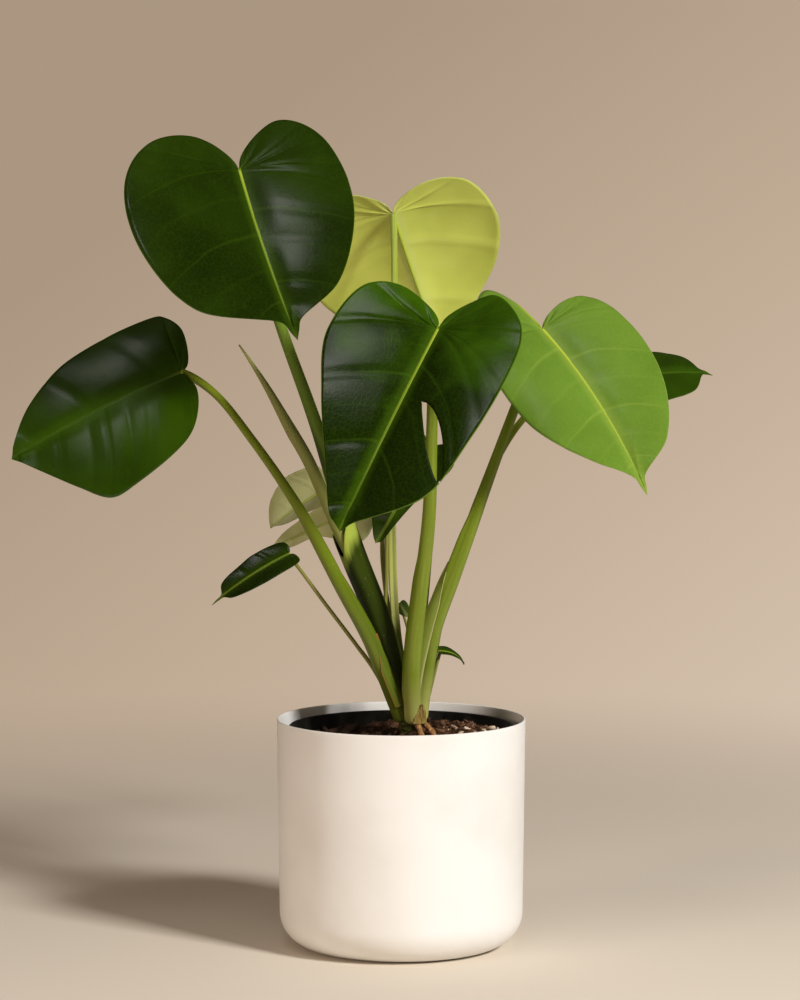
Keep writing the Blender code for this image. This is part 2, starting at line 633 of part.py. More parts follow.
def build_blade(leaf, collection):
    def sheet(shape):
        bmesh.ops.create_grid(shape, x_segments=2 * leaf.across, y_segments=leaf.along, size=1)
        if leaf.split:
            open_split(shape, leaf)
        length = rib_length(leaf)
        for vert in shape.verts:
            half = leaf.left if vert.co.x > 0 else leaf.right
            along = np.array([min(1.0, max(0.0, (vert.co.y + 1) / 2))])
            x, y = flat_blade(half, length, along, abs(vert.co.x))
            vert.co = bent_blade(leaf, half, 1 if vert.co.x > 0 else -1, x, y)[0]
        bmesh.ops.remove_doubles(shape, verts=shape.verts, dist=BLADE_WELD)
        bmesh.ops.dissolve_degenerate(shape, edges=shape.edges, dist=BLADE_WELD)

    blade = add_mesh_object(leaf.name + "_blade", sheet, collection)
    solidify = blade.modifiers.new("thickness", "SOLIDIFY")
    solidify.thickness = BLADE_THICKNESS
    solidify.offset = 0
    dress(blade, "young_blade" if leaf.name in YOUNG_LEAVES else "blade")
    return blade


def stalk_start(lean):
    """Where a stalk stands on the crown's dome, and the direction it leaves in."""
    out = unit((tan(radians(lean[0])), tan(radians(lean[1])), 1))
    centre = np.array(stem_place()) + np.array([0, 0, dome_centre_height()])
    return centre + out * (CROWN_RADIUS + GAP), out


def stalk_points(start, out, knots, count):
    """A straight foot, square to the crown, and then even points along the stalk's curve."""
    settled = start + out * STALK_SETTLE
    return np.concatenate([[start], even_points([settled, *knots], count)])


def build_stalk(leaf, collection):
    start, out = stalk_start(leaf.lean)
    radii = np.array(leaf.stalk_radii) * MM
    normal = turned_frame(leaf, rib_length(leaf)) @ np.array([0, 0, 1.0])
    end = place_on_soil(leaf.attach) - normal * (radii[-1] + BLADE_THICKNESS / 2 + 2 * GAP)
    points = stalk_points(start, out, [*[place_on_soil(point) for point in leaf.stalk], end], STALK_POINTS)
    stalk = tube(leaf.name + "_petiole", points, radii, collection)
    dress(stalk, "stalk")
    return stalk


def build_rolled_leaf(collection):
    """The newest leaf: a stalk that swells into a tight roll and runs out to a point."""
    start, out = stalk_start(ROLLED_LEAF_LEAN)
    points = stalk_points(start, out, [place_on_soil(point) for point in ROLLED_LEAF_ROUTE], ROLLED_LEAF_POINTS)
    radii = np.array(ROLLED_LEAF_RADII) * MM
    rolled = tube("rolled_leaf", points, radii, collection)
    dress(rolled, "rolled_blade")
    return rolled


def main():
    clear_scene()
    parts = new_collection("potted_monstera")
    cutters = new_collection("cutters")
    build_cover_pot(parts)
    build_nursery_pot(parts, cutters)
    routes = root_routes()
    build_soil(parts, cutters, routes)
    build_stem(parts)
    build_roots(parts, routes)
    build_dried_sheath(parts)
    for leaf in LEAVES:
        build_blade(leaf, parts)
        build_stalk(leaf, parts)
    build_rolled_leaf(parts)


main()
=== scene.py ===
"""A potted monstera in a matt white cover pot: the looks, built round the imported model.

Metres, +Z up, the plant's front towards -Y. Every surface is worked out with numpy as a function of two
parameters on a grid, and each piece stands where the node that it replaces stands."""

import logging
from collections.abc import Callable, Sequence
from dataclasses import dataclass, field
from enum import Enum
from functools import partial
from math import cos, pi, radians, sin, sqrt, tan

import bmesh
import bpy
import numpy as np
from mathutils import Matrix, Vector


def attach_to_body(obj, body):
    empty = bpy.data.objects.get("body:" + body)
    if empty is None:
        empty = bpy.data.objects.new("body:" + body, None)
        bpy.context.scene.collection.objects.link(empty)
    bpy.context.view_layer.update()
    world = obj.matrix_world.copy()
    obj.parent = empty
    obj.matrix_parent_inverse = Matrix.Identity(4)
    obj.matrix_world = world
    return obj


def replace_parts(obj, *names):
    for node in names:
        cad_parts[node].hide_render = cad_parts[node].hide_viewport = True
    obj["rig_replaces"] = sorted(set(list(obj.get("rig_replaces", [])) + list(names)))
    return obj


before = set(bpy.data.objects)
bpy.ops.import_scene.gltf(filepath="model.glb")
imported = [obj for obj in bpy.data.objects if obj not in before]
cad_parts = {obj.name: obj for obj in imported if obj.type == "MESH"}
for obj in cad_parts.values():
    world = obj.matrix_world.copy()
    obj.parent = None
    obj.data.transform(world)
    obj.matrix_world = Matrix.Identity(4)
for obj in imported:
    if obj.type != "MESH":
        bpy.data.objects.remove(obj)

logging.basicConfig(level=logging.INFO, format="%(message)s")
log = logging.getLogger("potted_monstera")

MM = 0.001
SOIL_LEVEL = 0.158
CAP_RINGS = 4  # rings in the half ball at a tube's end
CAP_FLATNESS = 0.6  # how far that half ball reaches, as a share of the tube's radius
BLADE_WALL = 0.00042
SHEATH_WALL = 0.0005
SCALE_WALL = 0.0004
SCAR_PITCH = 0.0035
Array = np.ndarray
Material = bpy.types.Material
Piece = bpy.types.Object


# ================================================================ nodes and colours
def srgb(hex_colour: str) -> tuple[float, float, float, float]:
    """Turns an sRGB hex colour to linear.

    Args:
        hex_colour: such as "#a1b2c3".

    Returns:
        Linear red, green, blue and an alpha of 1.
    """
    values = np.array([int(hex_colour[i:i + 2], 16) for i in (1, 3, 5)]) / 255
    linear = np.where(values <= 0.04045, values / 12.92, ((values + 0.055) / 1.055) ** 2.4)
    return (*[float(value) for value in linear], 1.0)


def add_node(tree: bpy.types.NodeTree, kind: str, inputs: dict | None = None,
             stops: Sequence[tuple[float, str]] = (), **settings: object) -> bpy.types.Node:
    """Adds a node with its settings and links.

    Args:
        tree: the node tree.
        kind: the node type's name without "ShaderNode".
        inputs: input name or index to a value, an sRGB hex colour, another node's output socket, or another
            node, which then gives its first output in use.
        stops: place and sRGB hex colour of each stop of a colour ramp.
        settings: the node's own properties.

    Returns:
        The node.
    """
    node = tree.nodes.new("ShaderNode" + kind)
    for key, value in settings.items():
        setattr(node, key, value)
    for key, value in (inputs or {}).items():
        if isinstance(value, bpy.types.Node):
            value = next(socket for socket in value.outputs if socket.enabled)
        if isinstance(value, bpy.types.NodeSocket):
            tree.links.new(value, node.inputs[key])
        else:
            node.inputs[key].default_value = srgb(value) if isinstance(value, str) else value
    if stops:
        elements = node.color_ramp.elements
        while len(elements) < len(stops):
            elements.new(0.5)
        for element, (place, colour) in zip(elements, stops):
            element.position = place
            element.color = srgb(colour)
    return node


def new_material(name: str) -> tuple[Material, Callable[..., bpy.types.Node]]:
    """Makes a material with no nodes.

    Args:
        name: the material's name.

    Returns:
        The material, and add_node for its tree.
    """
    made = bpy.data.materials.new(name)
    made.use_nodes = True
    made.node_tree.nodes.clear()
    return made, partial(add_node, made.node_tree)


# ================================================================ curves
def unit(vector: Array) -> Array:
    """A vector, or each row of an array of vectors, at length 1."""
    vector = np.asarray(vector, float)
    return vector / np.maximum(np.linalg.norm(vector, axis=-1, keepdims=True), 1e-12)


def spline(points: Array, samples: Array) -> Array:
    """A smooth curve through points: a cubic Hermite whose knots are spaced by the root of their distance
    and whose slopes are the distance-weighted mean of the slopes on both sides.

    Args:
        points: knots, one per row.
        samples: shares 0 to 1 of the knots' run.

    Returns:
        One point per sample.
    """
    points = np.asarray(points, float)
    span = np.linalg.norm(np.diff(points, axis=0), axis=1) ** 0.5
    knots = np.concatenate([[0], np.cumsum(span)])
    slope = np.diff(points, axis=0) / span[:, None]
    tangent = np.empty_like(points)
    before, after = span[:-1, None], span[1:, None]
    tangent[1:-1] = (slope[:-1] * after + slope[1:] * before) / (before + after)
    tangent[0] = 2 * slope[0] - tangent[1]
    tangent[-1] = 2 * slope[-1] - tangent[-2]
    at = np.asarray(samples, float) * knots[-1]
    piece = np.clip(np.searchsorted(knots, at, side="right") - 1, 0, len(span) - 1)
    width = span[piece][:, None]
    x = ((at - knots[piece]) / span[piece])[:, None]
    return ((2 * x**3 - 3 * x**2 + 1) * points[piece] + (x**3 - 2 * x**2 + x) * width * tangent[piece]
            + (3 * x**2 - 2 * x**3) * points[piece + 1] + (x**3 - x**2) * width * tangent[piece + 1])


def length_of(points: Array) -> Array:
    """Distance run at each point of a path, in metres."""
    return np.concatenate([[0], np.cumsum(np.linalg.norm(np.diff(points, axis=0), axis=1))])


def even_points(points: Array, shares: Array) -> Array:
    """The spline through the points, read at even steps of its length.

    Args:
        points: knots, one per row.
        shares: shares 0 to 1 of the spline's length.

    Returns:
        One point per share.
    """
    fine = spline(points, np.linspace(0, 1, 600))
    run = length_of(fine)
    return np.stack([np.interp(shares * run[-1], run, fine[:, axis]) for axis in range(3)], 1)


def smoothstep(low: float, high: float, value: Array) -> Array:
    """0 below low, 1 above high, and 3t squared less 2t cubed in between."""
    t = np.clip((np.asarray(value, float) - low) / (high - low), 0, 1)
    return t * t * (3 - 2 * t)


def lattice_noise(x: Array, y: Array, cell: float, seed: int) -> Array:
    """Smooth random heights: a square lattice of numbers from -1 to 1, blended inside each cell.

    Args:
        x: places along X.
        y: places along Y.
        cell: the lattice spacing, in the unit of x and y.
        seed: picks the numbers.

    Returns:
        A height for each place.
    """
    side = 61
    grid = np.random.default_rng(seed).uniform(-1, 1, (side, side))
    u, v = np.asarray(x) / cell, np.asarray(y) / cell
    iu, iv = np.floor(u).astype(int), np.floor(v).astype(int)
    fu, fv = smoothstep(0, 1, u - iu), smoothstep(0, 1, v - iv)
    corner = [[grid[(iu + a) % side, (iv + b) % side] for b in (0, 1)] for a in (0, 1)]
    low = corner[0][0] * (1 - fv) + corner[0][1] * fv
    high = corner[1][0] * (1 - fv) + corner[1][1] * fv
    return low * (1 - fu) + high * fu


# ================================================================ surfaces
def grid_quads(rows: int, columns: int, skip_row: int | None = None) -> Array:
    """The four corners of each face of a grid whose points are numbered row by row.

    Args:
        rows: points along the first parameter.
        columns: points along the second.
        skip_row: a row of faces to leave out.

    Returns:
        One face per row.
    """
    index = np.arange(rows * columns).reshape(rows, columns)
    quads = np.stack([index[:-1, :-1], index[:-1, 1:], index[1:, 1:], index[1:, :-1]], -1)
    if skip_row is not None:
        quads = np.delete(quads, skip_row, axis=0)
    return quads.reshape(-1, 4)


def signed_volume(points: Array, quads: Array) -> float:
    """Six times the volume inside a closed surface: the sum of each triangle's corner determinant."""
    a, b, c, d = (points[quads[:, i]] for i in range(4))
    return float((np.einsum("ij,ij->i", a, np.cross(b, c)) + np.einsum("ij,ij->i", a, np.cross(c, d))).sum())


def make_piece(name: str, points: Array, quads: Array, materials: list[Material],
               nodes: list[str] | None = None, maps: dict[str, Array] | None = None,
               tones: Array | None = None, closed: bool = True, weld: float = 2e-6) -> Piece:
    """Puts a surface into a mesh and declares what it is.

    Args:
        name: the piece's name.
        points: one point per row.
        quads: four point numbers per row.
        materials: the piece's materials, in slot order.
        nodes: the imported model's nodes that it replaces.
        maps: UV map name to one pair per point.
        tones: one number per point, kept as the attribute "tone".
        closed: whether the faces are turned outwards by the volume that they hold.
        weld: points this close are made one, which closes seams and poles.

    Returns:
        The object, at the origin.
    """
    if closed and signed_volume(points - points.mean(axis=0), quads) < 0:
        quads = quads[:, ::-1]
    mesh = bpy.data.meshes.new(name)
    mesh.vertices.add(len(points))
    mesh.vertices.foreach_set("co", np.ascontiguousarray(points, np.float32).ravel())
    mesh.loops.add(quads.size)
    mesh.loops.foreach_set("vertex_index", np.ascontiguousarray(quads, np.int32).ravel())
    mesh.polygons.add(len(quads))
    mesh.polygons.foreach_set("loop_start", np.arange(0, quads.size, 4, dtype=np.int32))
    mesh.update(calc_edges=True)
    for map_name, pairs in (maps or {}).items():
        layer = mesh.uv_layers.new(name=map_name)
        layer.data.foreach_set("uv", np.ascontiguousarray(pairs[quads.ravel()], np.float32).ravel())
    if tones is not None:
        layer = mesh.attributes.new("tone", "FLOAT", "POINT")
        layer.data.foreach_set("value", np.ascontiguousarray(tones, np.float32))
    shape = bmesh.new()
    shape.from_mesh(mesh)
    bmesh.ops.remove_doubles(shape, verts=shape.verts, dist=weld)
    shape.to_mesh(mesh)
    shape.free()
    mesh.shade_smooth()
    piece = bpy.data.objects.new(name, mesh)
    bpy.context.scene.collection.objects.link(piece)
    for material in materials:
        mesh.materials.append(material)
    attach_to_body(piece, "root")
    if nodes:
        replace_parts(piece, *nodes)
    return piece


def lathe(profile: Array, steps: int, ripple: Array | None = None) -> tuple[Array, Array, Array]:
    """A profile of (radius, height) turned round +Z, from 0 to a full turn.

    Args:
        profile: one (radius, height) per row.
        steps: faces round the turn.
        ripple: metres added to the radius, one per profile point and step, or nothing.

    Returns:
        Points, quads and a map of (share of the turn, metres along the profile).
    """
    turn = np.linspace(0, 2 * pi, steps + 1)
    radius = np.repeat(profile[:, :1], steps + 1, axis=1)
    if ripple is not None:
        radius = radius + ripple
    points = np.stack([radius * np.cos(turn), radius * np.sin(turn),
                       np.repeat(profile[:, 1:], steps + 1, axis=1)], -1)
    pairs = np.stack(np.broadcast_arrays(turn / (2 * pi), length_of(profile)[:, None]), -1)
    return points.reshape(-1, 3), grid_quads(len(profile), steps + 1), pairs.reshape(-1, 2)


def quarter(centre: tuple[float, float], radius: float, start: float, stop: float, steps: int) -> Array:
    """Points on an arc of a profile: the centre plus the radius turned from start to stop degrees."""
    turn = np.radians(np.linspace(start, stop, steps))
    return np.stack([centre[0] + radius * np.cos(turn), centre[1] + radius * np.sin(turn)], 1)


def tube(path: Array, radius: Array, reference: Array, sides: int,
         section: Array | None = None) -> tuple[Array, Array, Array]:
    """A ring carried along a path. At each path point the ring stands square to the path, its zero angle
    faces the reference direction, and its two ends are closed by flattened half balls.

    Args:
        path: the centre line.
        radius: the ring's radius at each path point.
        reference: the direction that angle zero looks in.
        sides: faces round the ring.
        section: share of the radius for each path point and angle, or nothing for a round tube.

    Returns:
        Points, quads and a map of (share of the turn, metres along the path).
    """
    def padded(rows: Array) -> Array:
        """Rows with the first and the last one repeated for the ends' rings."""
        return np.concatenate([np.repeat(rows[:1], CAP_RINGS, 0), rows, np.repeat(rows[-1:], CAP_RINGS, 0)])

    dome = np.linspace(0, pi / 2, CAP_RINGS + 1)[1:]
    tangent = unit(np.gradient(path, axis=0))
    first = path[0] - tangent[0] * (CAP_FLATNESS * radius[0] * np.sin(dome[::-1]))[:, None]
    last = path[-1] + tangent[-1] * (CAP_FLATNESS * radius[-1] * np.sin(dome))[:, None]
    full_path = np.concatenate([first, path, last])
    full_radius = np.concatenate([radius[0] * np.cos(dome[::-1]), radius, radius[-1] * np.cos(dome)])
    full_tangent = padded(tangent)
    side = unit(np.cross(full_tangent, np.broadcast_to(reference, full_tangent.shape)))
    up = np.cross(side, full_tangent)
    turn = np.linspace(0, 2 * pi, sides + 1)
    shape = padded(np.ones((len(path), sides + 1)) if section is None else section)
    reach = (full_radius[:, None] * shape)[..., None]
    ring = up[:, None] * np.cos(turn)[:, None] + side[:, None] * np.sin(turn)[:, None]
    points = full_path[:, None] + reach * ring
    pairs = np.stack(np.broadcast_arrays(turn / (2 * pi), length_of(full_path)[:, None]), -1)
    return points.reshape(-1, 3), grid_quads(len(full_path), sides + 1), pairs.reshape(-1, 2)


# ================================================================ finishes
@dataclass(frozen=True)
class MattGlaze:
    """Stoneware under a matt off-white glaze, fired: an even, chalky skin that still has a soft sheen."""

    base: str = "#eeedeb"
    shade: str = "#e7e5e1"
    roughness: float = 0.42
    grain_mm: float = 0.9  # the glaze's orange peel, real pinholes are a third of this

    def material(self) -> Material:
        """The glaze, with a slow drift of tone and a fine orange peel.

        Returns:
            The material.
        """
        made, add = new_material("stoneware_matt_white_glaze")
        place = add("TexCoord").outputs["Object"]
        drift = add("TexNoise", {"Vector": place, "Scale": 14.0, "Detail": 4.0})
        tone = add("ValToRGB", {"Fac": drift}, [(0.35, self.shade), (0.6, self.base)])
        peel = add("TexNoise", {"Vector": place, "Scale": 1 / (self.grain_mm * MM), "Detail": 3.0})
        bump = add("Bump", {"Height": peel, "Strength": 0.35, "Distance": 0.00008})
        rough = add("MapRange", {"Value": peel, "To Min": self.roughness - 0.04, "To Max": self.roughness + 0.08})
        shader = add("BsdfPrincipled", {"Base Color": tone, "Roughness": rough, "Normal": bump, "IOR": 1.5})
        add("OutputMaterial", {"Surface": shader})
        return made


@dataclass(frozen=True)
class BlackPolypropylene:
    """Black polypropylene, thermoformed: thin, slightly shiny, with dust and water marks on it."""

    base: str = "#0d0c0b"
    dusty: str = "#2a2724"
    roughness: float = 0.5
    cloud_scale: float = 70.0  # per metre, dusty clouds about 14 mm across

    def material(self) -> Material:
        """The plastic, rougher and paler where dust lies.

        Returns:
            The material.
        """
        made, add = new_material("polypropylene_black_thermoformed")
        place = add("TexCoord").outputs["Object"]
        dust = add("TexNoise", {"Vector": place, "Scale": self.cloud_scale, "Detail": 5.0, "Roughness": 0.65})
        tone = add("ValToRGB", {"Fac": dust}, [(0.42, self.base), (0.72, self.dusty)])
        rough = add("MapRange", {"Value": dust, "To Min": self.roughness - 0.1, "To Max": self.roughness + 0.25})
        bump = add("Bump", {"Height": dust, "Strength": 0.3, "Distance": 0.0001})
        shader = add("BsdfPrincipled", {"Base Color": tone, "Roughness": rough, "Normal": bump, "IOR": 1.49})
        add("OutputMaterial", {"Surface": shader})
        return made


@dataclass(frozen=True)
class PottingMix:
    """Peat potting mix, crumbled: nearly black in its hollows, brown where it rises."""

    hollow_tone: str = "#1d130d"
    crumb: str = "#4a3222"
    dry: str = "#6f5038"
    crumb_scale: float = 450.0  # per metre, crumbs about 2 mm across
    cloud_scale: float = 130.0  # per metre, dark low patches about 8 mm across

    def material(self) -> Material:
        """The mix, darkest where it lies lowest: its height is the cloud less the distance to the nearest crumb's
        middle.

        Returns:
            The material.
        """
        made, add = new_material("peat_mix_crumbled")
        place = add("TexCoord").outputs["Object"]
        crumbs = add("TexVoronoi", {"Vector": place, "Scale": self.crumb_scale})
        cloud = add("TexNoise", {"Vector": place, "Scale": self.cloud_scale, "Detail": 6.0, "Roughness": 0.7})
        tone = add("ValToRGB", {"Fac": cloud}, [(0.35, self.hollow_tone), (0.55, self.crumb), (0.75, self.dry)])
        height = add("Math", {0: cloud, 1: crumbs}, operation="SUBTRACT")
        bump = add("Bump", {"Height": height, "Strength": 0.9, "Distance": 0.0012})
        shader = add("BsdfPrincipled", {"Base Color": tone, "Normal": bump, "Roughness": 0.95,
                                        "Specular IOR Level": 0.25})
        add("OutputMaterial", {"Surface": shader})
        return made


@dataclass(frozen=True)
class BarkChip:
    """Pine bark and coco chips, broken: each chip its own tone, from dark brown to pale tan, the chips towards +X
    paler.
    """

    dark: str = "#2a1a11"
    middle: str = "#7a5a44"
    pale: str = "#e0c8b0"
    fibre_scale: float = 600.0  # per metre, fibres about 1.5 mm long

    def material(self) -> Material:
        """The bark, toned chip by chip by the attribute "tone", with fibres along the grain.

        Returns:
            The material.
        """
        made, add = new_material("pine_bark_broken")
        tone = add("Attribute", attribute_name="tone").outputs["Fac"]
        place = add("TexCoord").outputs["Object"]
        fibre = add("TexNoise", {"Vector": place, "Scale": self.fibre_scale, "Detail": 4.0, "Roughness": 0.7})
        mixed = add("Math", {0: fibre, 1: 0.45, 2: tone}, operation="MULTIPLY_ADD")
        colour = add("ValToRGB", {"Fac": mixed}, [(0.25, self.dark), (0.75, self.middle), (1.0, self.pale)])
        bump = add("Bump", {"Height": fibre, "Strength": 0.6, "Distance": 0.0005})
        shader = add("BsdfPrincipled", {"Base Color": colour, "Normal": bump, "Roughness": 0.85})
        add("OutputMaterial", {"Surface": shader})
        return made


@dataclass(frozen=True)
class Bark:
    """Corky plant skin grown in rings, dull and fibrous: the stem, the aerial roots and the dried sheath."""

    name: str
    dark: str
    middle: str
    pale: str
    roughness: float
    stretch: tuple[float, float, float]  # cycles per metre along X, Y and Z
    relief: float = 0.0005

    def material(self) -> Material:
        """The skin, with fibres that run the way the stretch says.

        Returns:
            The material.
        """
        made, add = new_material(self.name)
        drawn = add("Mapping", {"Vector": add("TexCoord").outputs["Object"], "Scale": self.stretch})
        fibre = add("TexNoise", {"Vector": drawn, "Scale": 1.0, "Detail": 6.0, "Roughness": 0.65})
        colour = add("ValToRGB", {"Fac": fibre}, [(0.3, self.dark), (0.5, self.middle), (0.72, self.pale)])
        bump = add("Bump", {"Height": fibre, "Strength": 0.7, "Distance": self.relief})
        shader = add("BsdfPrincipled", {"Base Color": colour, "Normal": bump, "Roughness": self.roughness})
        add("OutputMaterial", {"Surface": shader})
        return made


STEM_BARK = Bark("stem_green_brown_scarred", "#211f0d", "#4c5222", "#7b7c3e", 0.6, (160.0, 160.0, 420.0), 0.0008)
ROOT_BARK = Bark("aerial_root_tan", "#5c3c22", "#9a7048", "#c99b6c", 0.75, (700.0, 700.0, 260.0), 0.0006)
DRIED_BARK = Bark("sheath_dried_papery", "#4e3c1a", "#867038", "#b8a468", 0.8, (900.0, 900.0, 90.0), 0.0004)


@dataclass(frozen=True)
class StalkSkin:
    """Petiole skin, grown: smooth and waxy, streaked along its length, flecked, paler at the foot."""

    name: str
    foot: str
    middle: str
    top: str
    streak: str
    length: float = 0.30  # over which the tone goes from foot to top
    roughness: float = 0.36
    streaks: float = 9.0  # round the stalk
    edge: str | None = None  # a sheath's dry or bright margin
    fleck: str = "#d9dba2"
    fleck_scale: float = 520.0  # per metre, flecks about 1 mm across

    def material(self) -> Material:
        """The skin, driven by the map "run" of (share round, metres along) and, on a sheath, by the map
        "sheet" of (from -1 to 1 across, share of the way up), whose larger part says how near the edge is.

        Returns:
            The material.
        """
        made, add = new_material(self.name)
        run = add("UVMap", uv_map="run")
        climb = add("Math", {0: add("SeparateXYZ", {0: run}).outputs["Y"], 1: self.length}, operation="DIVIDE")
        tone = add("ValToRGB", {"Fac": climb}, [(0.0, self.foot), (0.14, self.middle), (1.0, self.top)])
        drawn = add("Mapping", {"Vector": run, "Scale": (self.streaks, 14.0, 1.0)})
        streaks = add("TexNoise", {"Vector": drawn, "Scale": 1.0, "Detail": 2.0, "Roughness": 0.6})
        share = add("MapRange", {"Value": streaks, "From Min": 0.45, "From Max": 0.75, "To Max": 0.55})
        streaked = add("Mix", {"Factor": share, "A": tone, "B": self.streak}, data_type="RGBA")
        place = add("TexCoord").outputs["Object"]
        flecks = add("TexNoise", {"Vector": place, "Scale": self.fleck_scale, "Detail": 2.0})
        spot = add("MapRange", {"Value": flecks, "From Min": 0.66, "From Max": 0.76, "To Max": 0.10})
        colour = add("Mix", {"Factor": spot, "A": streaked, "B": self.fleck}, data_type="RGBA")
        if self.edge:
            sheet = add("SeparateXYZ", {0: add("UVMap", uv_map="sheet")})
            aside = add("Math", {0: sheet.outputs["X"]}, operation="ABSOLUTE")
            outer = add("Math", {0: aside, 1: sheet.outputs["Y"]}, operation="MAXIMUM")
            frayed = add("Math", {0: streaks, 1: 0.12, 2: outer}, operation="MULTIPLY_ADD")
            near = add("MapRange", {"Value": frayed, "From Min": 0.93, "From Max": 1.02},
                       interpolation_type="SMOOTHSTEP")
            colour = add("Mix", {"Factor": near, "A": colour, "B": self.edge}, data_type="RGBA")
        bump = add("Bump", {"Height": streaks, "Strength": 0.3, "Distance": 0.00004})
        shader = add("BsdfPrincipled", {
            "Base Color": colour, "Normal": bump, "Roughness": self.roughness, "IOR": 1.45})
        add("OutputMaterial", {"Surface": shader})
        return made


class Face(Enum):
    """The two faces of a blade."""

    UPPER = "upper"
    UNDER = "under"


@dataclass(frozen=True)
class LeafSkin:
    """Monstera leaf, grown: a waxed upper face with sunken side veins, and a paler, drier underside. Light
    that falls on one face glows through to the other."""

    name: str
    deep: str
    base: str
    vein: str
    midrib: str
    rim: str
    under: str
    under_deep: str
    under_vein: str
    glow: str
    glow_share: float
    roughness: float = 0.30
    under_roughness: float = 0.5
    vein_strength: float = 0.45
    painted_tip_shade: float = 0.0  # painted shade: how much of the deep tone the tip takes on, standing in for the drooping end getting less light
    net_scale: float = 0.28  # cells per millimetre: real ones are 1 to 2 mm, drawn at 3.5 mm so that they show

    def material(self, face: Face) -> Material:
        """One face of the blade. The map "veins" gives (number of the side vein, share of the way from rib
        to margin) and the map "flat" gives (millimetres from the rib, millimetres along it) laid flat. A side
        vein lies where its number is whole, a thinner one half-way between two.

        Args:
            face: which face.

        Returns:
            The material.
        """
        upper = face is Face.UPPER
        made, add = new_material(f"{self.name}_{face.value}")
        flat = add("UVMap", uv_map="flat")
        number, outward = add("SeparateXYZ", {0: add("UVMap", uv_map="veins")}).outputs[:2]
        from_rib_signed, along = add("SeparateXYZ", {0: flat}).outputs[:2]

        wander = add("TexNoise", {"Vector": flat, "Scale": 0.03, "Detail": 1.0})
        shifted = add("Math", {0: wander, 1: 0.10, 2: number}, operation="MULTIPLY_ADD")
        near = add("Math", {0: shifted, 1: 0.5}, operation="PINGPONG")
        width = add("MapRange", {"Value": outward, "To Min": 0.042, "To Max": 0.016})
        line = add("MapRange", {"Value": near, "From Min": 0.0, "From Max": width, "To Min": 1.0, "To Max": 0.0},
                   interpolation_type="SMOOTHSTEP")
        half_way = add("Math", {0: shifted, 1: 0.5}, operation="ADD")
        between = add("Math", {0: half_way, 1: 0.5}, operation="PINGPONG")
        thin_line = add("MapRange", {"Value": between, "From Min": 0.0, "From Max": 0.05, "To Min": 0.35,
                                     "To Max": 0.0}, interpolation_type="SMOOTHSTEP")
        lines = add("Math", {0: line, 1: thin_line}, operation="MAXIMUM")
        net = add("TexVoronoi", {"Vector": flat, "Scale": self.net_scale, "Randomness": 0.9},
                  feature="DISTANCE_TO_EDGE")
        net_line = add("MapRange", {"Value": net, "From Max": 0.09, "To Min": 1.0, "To Max": 0.0})

        cloud = add("TexNoise", {"Vector": flat, "Scale": 0.02, "Detail": 2.0, "Roughness": 0.5})
        grain = add("TexNoise", {"Vector": flat, "Scale": 0.9, "Detail": 3.0})
        tint = add("Math", {0: grain, 1: 0.10, 2: cloud}, operation="MULTIPLY_ADD")
        # painted shade: the tone sinks towards the deep one from the stalk end to the tip, as if the drooping end got
        # less light
        painted_tip_darkening = add("MapRange", {"Value": along, "From Min": -35.0, "From Max": 95.0, "To Min": 0.0,
                                       "To Max": self.painted_tip_shade})
        tone = add("Math", {0: tint, 1: painted_tip_darkening}, operation="SUBTRACT")
        deep, base = (self.deep, self.base) if upper else (self.under_deep, self.under)
        panel = add("ValToRGB", {"Fac": tone}, [(0.20, deep), (0.62, base)])

        from_rib = add("Math", {0: from_rib_signed}, operation="ABSOLUTE")
        beside = add("MapRange", {"Value": from_rib, "From Min": 1.0, "From Max": 10.0, "To Min": 0.32,
                                  "To Max": 0.0}, interpolation_type="SMOOTHSTEP")
        netted = add("Math", {0: net_line, 1: 0.10, 2: beside}, operation="MULTIPLY_ADD")
        vein = self.vein if upper else self.under_vein
        with_net = add("Mix", {"Factor": netted, "A": panel, "B": vein}, data_type="RGBA")
        fade = add("MapRange", {"Value": outward, "From Min": 0.1, "From Max": 1.0,
                                "To Min": self.vein_strength, "To Max": self.vein_strength * 0.45})
        vein_share = add("Math", {0: lines, 1: fade}, operation="MULTIPLY")
        with_veins = add("Mix", {"Factor": vein_share, "A": with_net, "B": vein}, data_type="RGBA")
        rib_line = add("MapRange", {"Value": from_rib, "From Min": 0.7, "From Max": 1.7, "To Min": 0.85,
                                    "To Max": 0.0}, interpolation_type="SMOOTHSTEP")
        rib_fade = add("MapRange", {"Value": along, "From Min": 20.0, "From Max": 120.0, "To Min": 1.0,
                                    "To Max": 0.2})
        rib_share = add("Math", {0: rib_line, 1: rib_fade}, operation="MULTIPLY")
        with_rib = add("Mix", {"Factor": rib_share, "A": with_veins, "B": self.midrib}, data_type="RGBA")
        rim = add("MapRange", {"Value": outward, "From Min": 0.988, "From Max": 0.997, "To Max": 0.6},
                  interpolation_type="SMOOTHSTEP")
        colour = add("Mix", {"Factor": rim, "A": with_rib, "B": self.rim}, data_type="RGBA")

